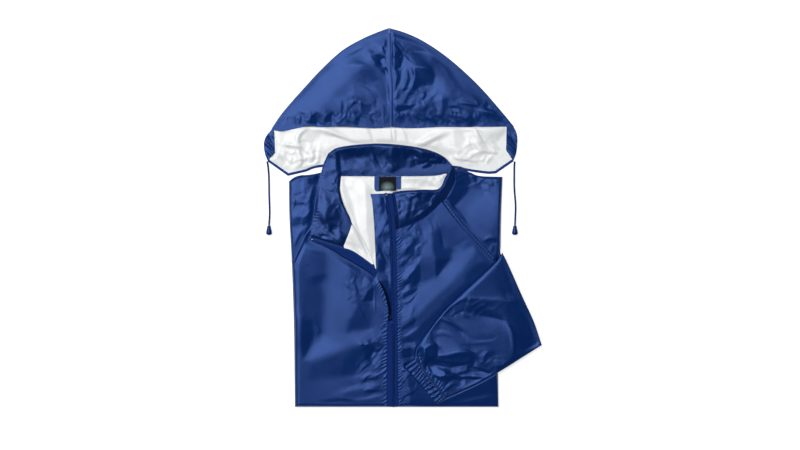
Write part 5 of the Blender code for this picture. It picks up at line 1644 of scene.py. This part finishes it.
def hood_half(name, side, outside, cheek, neck, face, marks, lining_marks):
    """Half of the hood: an upper layer that folds over at the outline to the lower layer."""
    fold = HOOD_TOP / 2
    crown = shifted(curve(HOOD_CROWN, FINE), side * SEAM / 2)
    crown[-1, 0] -= side * SEAM
    outside = curve(outside, FINE)
    outside[-1] = crown[-1]
    outward = shifted(outside, side) - outside
    at_crown = smoothstep(np.linspace(-9, 1, FINE))[:, None]
    outward = unit((1 - at_crown) * outward + at_crown * (0, 1))
    rim = outside - fold * outward
    face = curve(face, FINE)
    face[0], face[-1] = crown[0], rim[0]
    along = np.concatenate([[0, 0.004, 0.012], steps(200 / HOOD_SPACING)[2:]])

    def layer(across):
        return patch(crown, rim, face, (crown[-1] - (0, fold), rim[-1]), across, along)

    across = steps(245 / HOOD_SPACING)
    upper = layer(across)
    rim_out = np.stack([np.interp(along, np.linspace(0, 1, FINE), outward[:, k]) for k in (0, 1)], axis=1)
    turn = []
    for angle in np.radians((60, 30, 0, -30, -60)).tolist():
        z = np.full((len(along), 1), fold * (1 + math.sin(angle)))
        turn.append(np.concatenate([upper[:, -1] + fold * math.cos(angle) * rim_out, z], axis=1)[:, None])
    lower_across = steps(245 / LINING_SPACING)[::-1]
    lower = layer(lower_across)
    upper_z = hood_top(upper[..., 0], upper[..., 1], rim, marks)
    lower_z = lining_height(lower[..., 0], lower[..., 1], lining_marks)
    sheet = np.concatenate([raised(upper, upper_z), *turn, raised(lower, lower_z)], axis=1)

    cheek = curve(cheek, MEDIUM)
    cheek = cheek - fold * (shifted(cheek, side) - cheek)
    bottom = joined(*neck)[::-1]
    neck_line = np.array([bottom[0] - (side * SEAM / 2, 0), crown[0]])
    bottom[0, 0] -= side * SEAM / 2
    bottom[-1] = cheek[0]
    below = patch(neck_line, np.vstack([cheek[:-1], rim[:1]]), bottom, face, lower_across,
                  steps(90 / LINING_SPACING)[:-1])
    below_z = lining_height(below[..., 0], below[..., 1], lining_marks)
    below_z[:, 0] = CLOTH
    unused = len(across) + len(turn)
    hidden = np.repeat(sheet[:1, :unused], len(below), axis=0)
    points = np.concatenate([np.concatenate([hidden, raised(below, below_z)], axis=1), sheet], axis=0)
    keep = np.ones((points.shape[0] - 1, points.shape[1] - 1), bool)
    keep[:len(below), :unused] = False
    cloth(f"hood_half_{name}", points, f"hood_{name}", ["floor"], keep=keep, inner=side > 0)


def hood_rims(name, side, cheek, inner, neck):
    """The casing turned in at a cheek of the hood, and the binding of its neck edge."""
    outer = shifted(curve(cheek, MEDIUM), -side * 0.8)
    outer = outer[(outer[:, 1] > 113) & (outer[:, 1] < 178 - 2 * side)]
    laid(f"casing_{name}", ribbon(outer, joined(*inner), steps(12), steps(36)), casing_height,
         f"hood_casing_{name}", [f"hood_half_{name}"])
    line = respace(joined(*neck), EDGE_POINTS)
    line = line[abs(line[:, 0]) > 97]
    plan = ribbon(shifted(line, side * 0.1), shifted(line, side * (0.1 + BINDING)), steps(8),
                  steps(length_of(line) / SPACING))
    share = np.linspace(0, 1, plan.shape[1])[None, :]
    z = 0.5 + 2.2 * np.sqrt(np.clip(1 - (2 * share - 1) ** 4, 0, 1)) + np.zeros(plan.shape[:2])
    cloth(f"binding_{name}", raised(plan, z), f"hood_binding_{name}", [f"hood_half_{name}"],
          materials=(BOUND,), slot="tape_blue", inner=side < 0)


def hood():
    """Both halves of the hood, then what is sewn along their edges."""
    hood_half("left", 1, HOOD_EDGE_LEFT, HOOD_CHEEK_LEFT, HOOD_NECK_LEFT, FACE_EDGE_LEFT, HOOD_LEFT_MARKS,
              LINING_LEFT_MARKS)
    hood_half("right", -1, HOOD_EDGE_RIGHT, HOOD_CHEEK_RIGHT, HOOD_NECK_RIGHT, FACE_EDGE_RIGHT,
              HOOD_RIGHT_MARKS, LINING_RIGHT_MARKS)
    hood_rims("left", 1, HOOD_CHEEK_LEFT, CASING_LEFT, HOOD_NECK_LEFT)
    hood_rims("right", -1, HOOD_CHEEK_RIGHT, CASING_RIGHT, HOOD_NECK_RIGHT)


def tube_ring(upper, lower, width):
    """Shares across and heights round a flattened tube, from one side over the top and back."""
    around = []
    for shares, sign in ((upper, 1), (lower[::-1], -1)):
        depth = np.clip(np.minimum(shares, 1 - shares) * width / (SLEEVE_HEIGHT / 2), 0, 1)
        around.append(np.stack([shares, sign * np.sqrt(1 - (1 - depth) ** 2)], axis=1))
    return np.vstack([around[0], around[1][1:]])


def cuff_ribs(share, along):
    """Height of the elastic's ribs: uneven, and pinched along their length."""
    far = np.linspace(0, 1, along)[:, None]
    phase = CUFF_RIBS * share + 0.4 * np.sin(9 * share + 1.2 * far) + 0.3 * far
    which = np.floor(phase)
    ridge = np.sin(math.pi * (phase - which)) ** 0.8 * (0.65 + 0.35 * random_cells(which, 0 * which, 5, 1))
    return RIB * ridge * (0.8 + 0.2 * np.cos(2 * math.pi * far + which))


def tube(name, node, edges, ring, width, along, closing, marks, ribbed=False):
    """A flattened tube over a plan; closing is how far it rounds off at its start."""
    plan = patch(*edges, ring[:, 0], along)
    x, y = plan[..., 0], plan[..., 1]
    start = np.linalg.norm(plan - plan[:1], axis=2)
    full = np.sqrt(1 - (1 - np.clip(start / closing, 0, 1)) ** 2) if closing else np.ones(x.shape)
    base = pile_top(x, y) + PANEL + LIFT
    rounded = SLEEVE_HEIGHT / 2 * (1 + ring[:, 1] * full)
    on_top = np.clip(ring[:, 1], 0, 1) ** 2 * full
    from_side = np.minimum(ring[:, 0], 1 - ring[:, 0]) * width
    belly = SLEEVE_LOFT * smoothstep(from_side / 3.5) * (smoothstep(start / 45) if closing else 1)
    shown = smoothstep(from_side / 9) * (smoothstep(start / 12) if closing else 1)
    z = base + rounded + (belly + relief(x, y, marks) * shown) * on_top
    if ribbed:
        z = z + cuff_ribs(ring[:, 0], len(along)) * on_top
    z = np.where(ring[:, 1] > 0, np.maximum(z, base + rounded * 0.55), z)
    # The sleeve and the cuff wear the sleeve's nylon, which is a little darker as painted shade
    cloth(name, raised(plan, z), node, ["front_left_panel"], materials=(BLUE_SLEEVE_SHADED, WHITE))


def sleeve():
    """The left sleeve across the front, and its gathered cuff."""
    width, cuff_width, rounding = 150, 105, SLEEVE_HEIGHT / 2
    across = steps(width / SPACING, width, width, 4, rounding)
    seam = curve(CUFF_SEAM[::-1], COARSE)
    tube("sleeve_left_across", "sleeve_left_folded", (SLEEVE_LOWER, SLEEVE_UPPER, SLEEVE_FOLD[::-1], seam),
         tube_ring(across, across, width), width,
         steps(250 / SPACING, turn_start=250, turns=4, radius=rounding), rounding, SLEEVE_MARKS)
    start = shifted(seam, SEAM)
    end = curve(CUFF_EDGE[::-1], COARSE)
    tube("cuff_gathered", "cuff_left", ((start[0], end[0]), (start[-1], end[-1]), start, end),
         tube_ring(steps(9 * CUFF_RIBS), steps(20), cuff_width), cuff_width, steps(18), 0, CUFF_MARKS,
         ribbed=True)


def seam_strips():
    """The raglan seams are felled: a strip of doubled cloth, puckered between its two rows of sewing."""
    for name, route, (left, right), ground, top, squareness in (
            ("raglan_strip_right", SEAM_RIGHT_RAGLAN, (1.2, 1.2 - FELL), "front_right", 0.9, 0.5),
            ("raglan_strip_left", SEAM_LEFT_RAGLAN, (-1.2, FELL - 1.2), "front_left", 0.9, 0.5),
            ("crown_strip", HOOD_CROWN, (-3.0, 3.0), "crown", 0.32, 1)):
        line = curve(route, 121)[1:-6]
        length = length_of(line)
        plan = ribbon(shifted(line, left), shifted(line, right), steps(10), steps(length / 1.2))
        run = np.linspace(0, length, len(plan))[:, None]
        share = np.linspace(0, 1, plan.shape[1])[None, :]
        even = np.sin(2 * math.pi * run / 5.5 + 2.0 * share + np.sin(run / 9))
        pucker = even * (0.7 + 0.3 * np.sin(run / 15))
        arch = np.sin(math.pi * np.clip(share, 0, 1)) ** squareness
        z = GROUNDS[ground](plan[..., 0], plan[..., 1]) - top / 3 + arch * top * (1 + 0.33 * pucker)
        under = "hood_half_left" if ground == "crown" else f"{ground}_panel"
        cloth(name, raised(plan, z), None, [under], materials=(BLUE, BLUE), inner=right < 0)


def sewing():
    """Rows of thread, each stitch a small bar."""
    for name, ground, lift, offset, route in SEWN_ROWS:
        height = GROUNDS[ground]
        line = shifted(curve(route, 200), offset)
        at = respace(line, 2 * max(2, int(length_of(line) / STITCH_PITCH)) + 1)
        ends, middles = at[::2], at[1::2]
        places = np.column_stack([middles, height(middles[:, 0], middles[:, 1]) + lift])
        ways = np.column_stack([np.diff(ends, axis=0), np.diff(height(ends[:, 0], ends[:, 1]))])
        scatter(f"stitches_{name}", places, ways, STITCH_LENGTH, THREAD_RADIUS, THREAD)


def cord_rings(route, sides):
    """A braided cord that lies on the floor and rises into its stopper: its points and its middle line."""
    line = curve(route, int(length_of(curve(route, 50)) / 0.8))
    left = directions(line)[1]
    angle = turns_of(sides)
    run = np.linspace(0, length_of(line), len(line))[:, None]
    crossing = np.abs(np.sin(2.0 * angle + run * 1.6)) * np.abs(np.sin(2.0 * angle - run * 1.6))
    r = CORD_RADIUS * (0.985 + 0.015 * crossing)
    x = line[:, :1] + left[:, :1] * r * np.cos(angle)
    y = line[:, 1:] + left[:, 1:] * r * np.cos(angle)
    level = CORD_RADIUS + (STOPPER_REST - CORD_RADIUS) * smoothstep((run - run[-1] + 16) / 15)
    points = np.stack([x, y, level + r * np.sin(angle)], axis=2).reshape(-1, 3)
    return points, np.column_stack([line, level])


def stopper(name, node, end):
    """A bell stopper turned about its own length, lying on its side."""
    sides = 28
    x, y = end
    points = [(x + radius * math.cos(a), y - 0.3 - along, STOPPER_REST + radius * math.sin(a))
              for along, radius in STOPPER_PROFILE for a in turns_of(sides)]
    mesh = closed_mesh(name, np.array(points), ring_faces(len(STOPPER_PROFILE), sides))
    return add(name, mesh, [BELL], (node,))


def drawcords():
    """The two free ends of the hood's drawcord, each with its stopper."""
    sides = 16
    for side, route in (("left", CORD_LEFT), ("right", CORD_RIGHT)):
        points, middle = cord_rings(route, sides)
        mesh = closed_mesh(f"cord_{side}", points, capped(len(middle), sides))
        cord = add(f"cord_{side}", mesh, [CORD], (f"drawcord_{side}",))
        bell = stopper(f"bell_{side}", f"cord_stopper_{side}", route[-1])


def carried_over():
    """Solids that stay as they are, with their own materials."""
    for node, material in (("zip_slider", METAL), ("zip_pull", METAL), ("zip_stop_left", STOP_METAL),
                           ("zip_stop_right", STOP_METAL)):
        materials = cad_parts[node].data.materials
        materials.clear()
        materials.append(material)


# Camera, lights and floor


def linked(name, data):
    """A new object in the scene."""
    piece = bpy.data.objects.new(name, data)
    bpy.context.scene.collection.objects.link(piece)
    return piece


def studio():
    """A camera straight above, a white floor, one large soft light and a faint sky."""
    scene = bpy.context.scene
    camera = bpy.data.cameras.new("camera")
    camera.lens, camera.sensor_width = LENS, SENSOR
    scene.camera = linked("camera", camera)
    scene.camera.location = CAMERA_AT

    floor = bpy.data.meshes.new("floor")
    bm = bmesh.new()
    bmesh.ops.create_grid(bm, x_segments=1, y_segments=1, size=4.0)
    bm.to_mesh(floor)
    bm.free()
    white = new_material("floor_white", (0.5, 0.5, 0.5), 0.9, Specular_IOR_Level=0.1,
                         Emission_Color=(1.0, 1.0, 1.0, 1.0), Emission_Strength=0.7)[0]
    floor.materials.append(white)
    ground = linked("floor", floor)
    ground.location.z = -0.3 * MM

    world = bpy.data.worlds.new("studio")
    world.use_nodes = True
    tree = world.node_tree
    way = new_node(tree, "SeparateXYZ", Vector=new_node(tree, "TexCoord").outputs["Generated"])
    strength = spread(tree, way.outputs["Z"], *SKY_STRENGTH, *SKY_BETWEEN)
    plug(tree, tree.nodes["Background"], Color=SKY_COLOUR, Strength=strength)
    scene.world = world

    lamp = bpy.data.lights.new("softbox", "AREA")
    lamp.size, lamp.energy = SOFTBOX_SIZE, SOFTBOX_POWER
    light = linked("softbox", lamp)
    light.location = SOFTBOX_AT
    light.rotation_mode = "QUATERNION"
    light.rotation_quaternion = (-Vector(SOFTBOX_AT)).to_track_quat("-Z", "Y")
    scene.view_settings.view_transform = "Standard"


studio()
drawcords()
folded_layers()
fronts()
neck_opening()
collar()
zipper()
zip_coils()
hood()
sleeve()
seam_strips()
sewing()
carried_over()
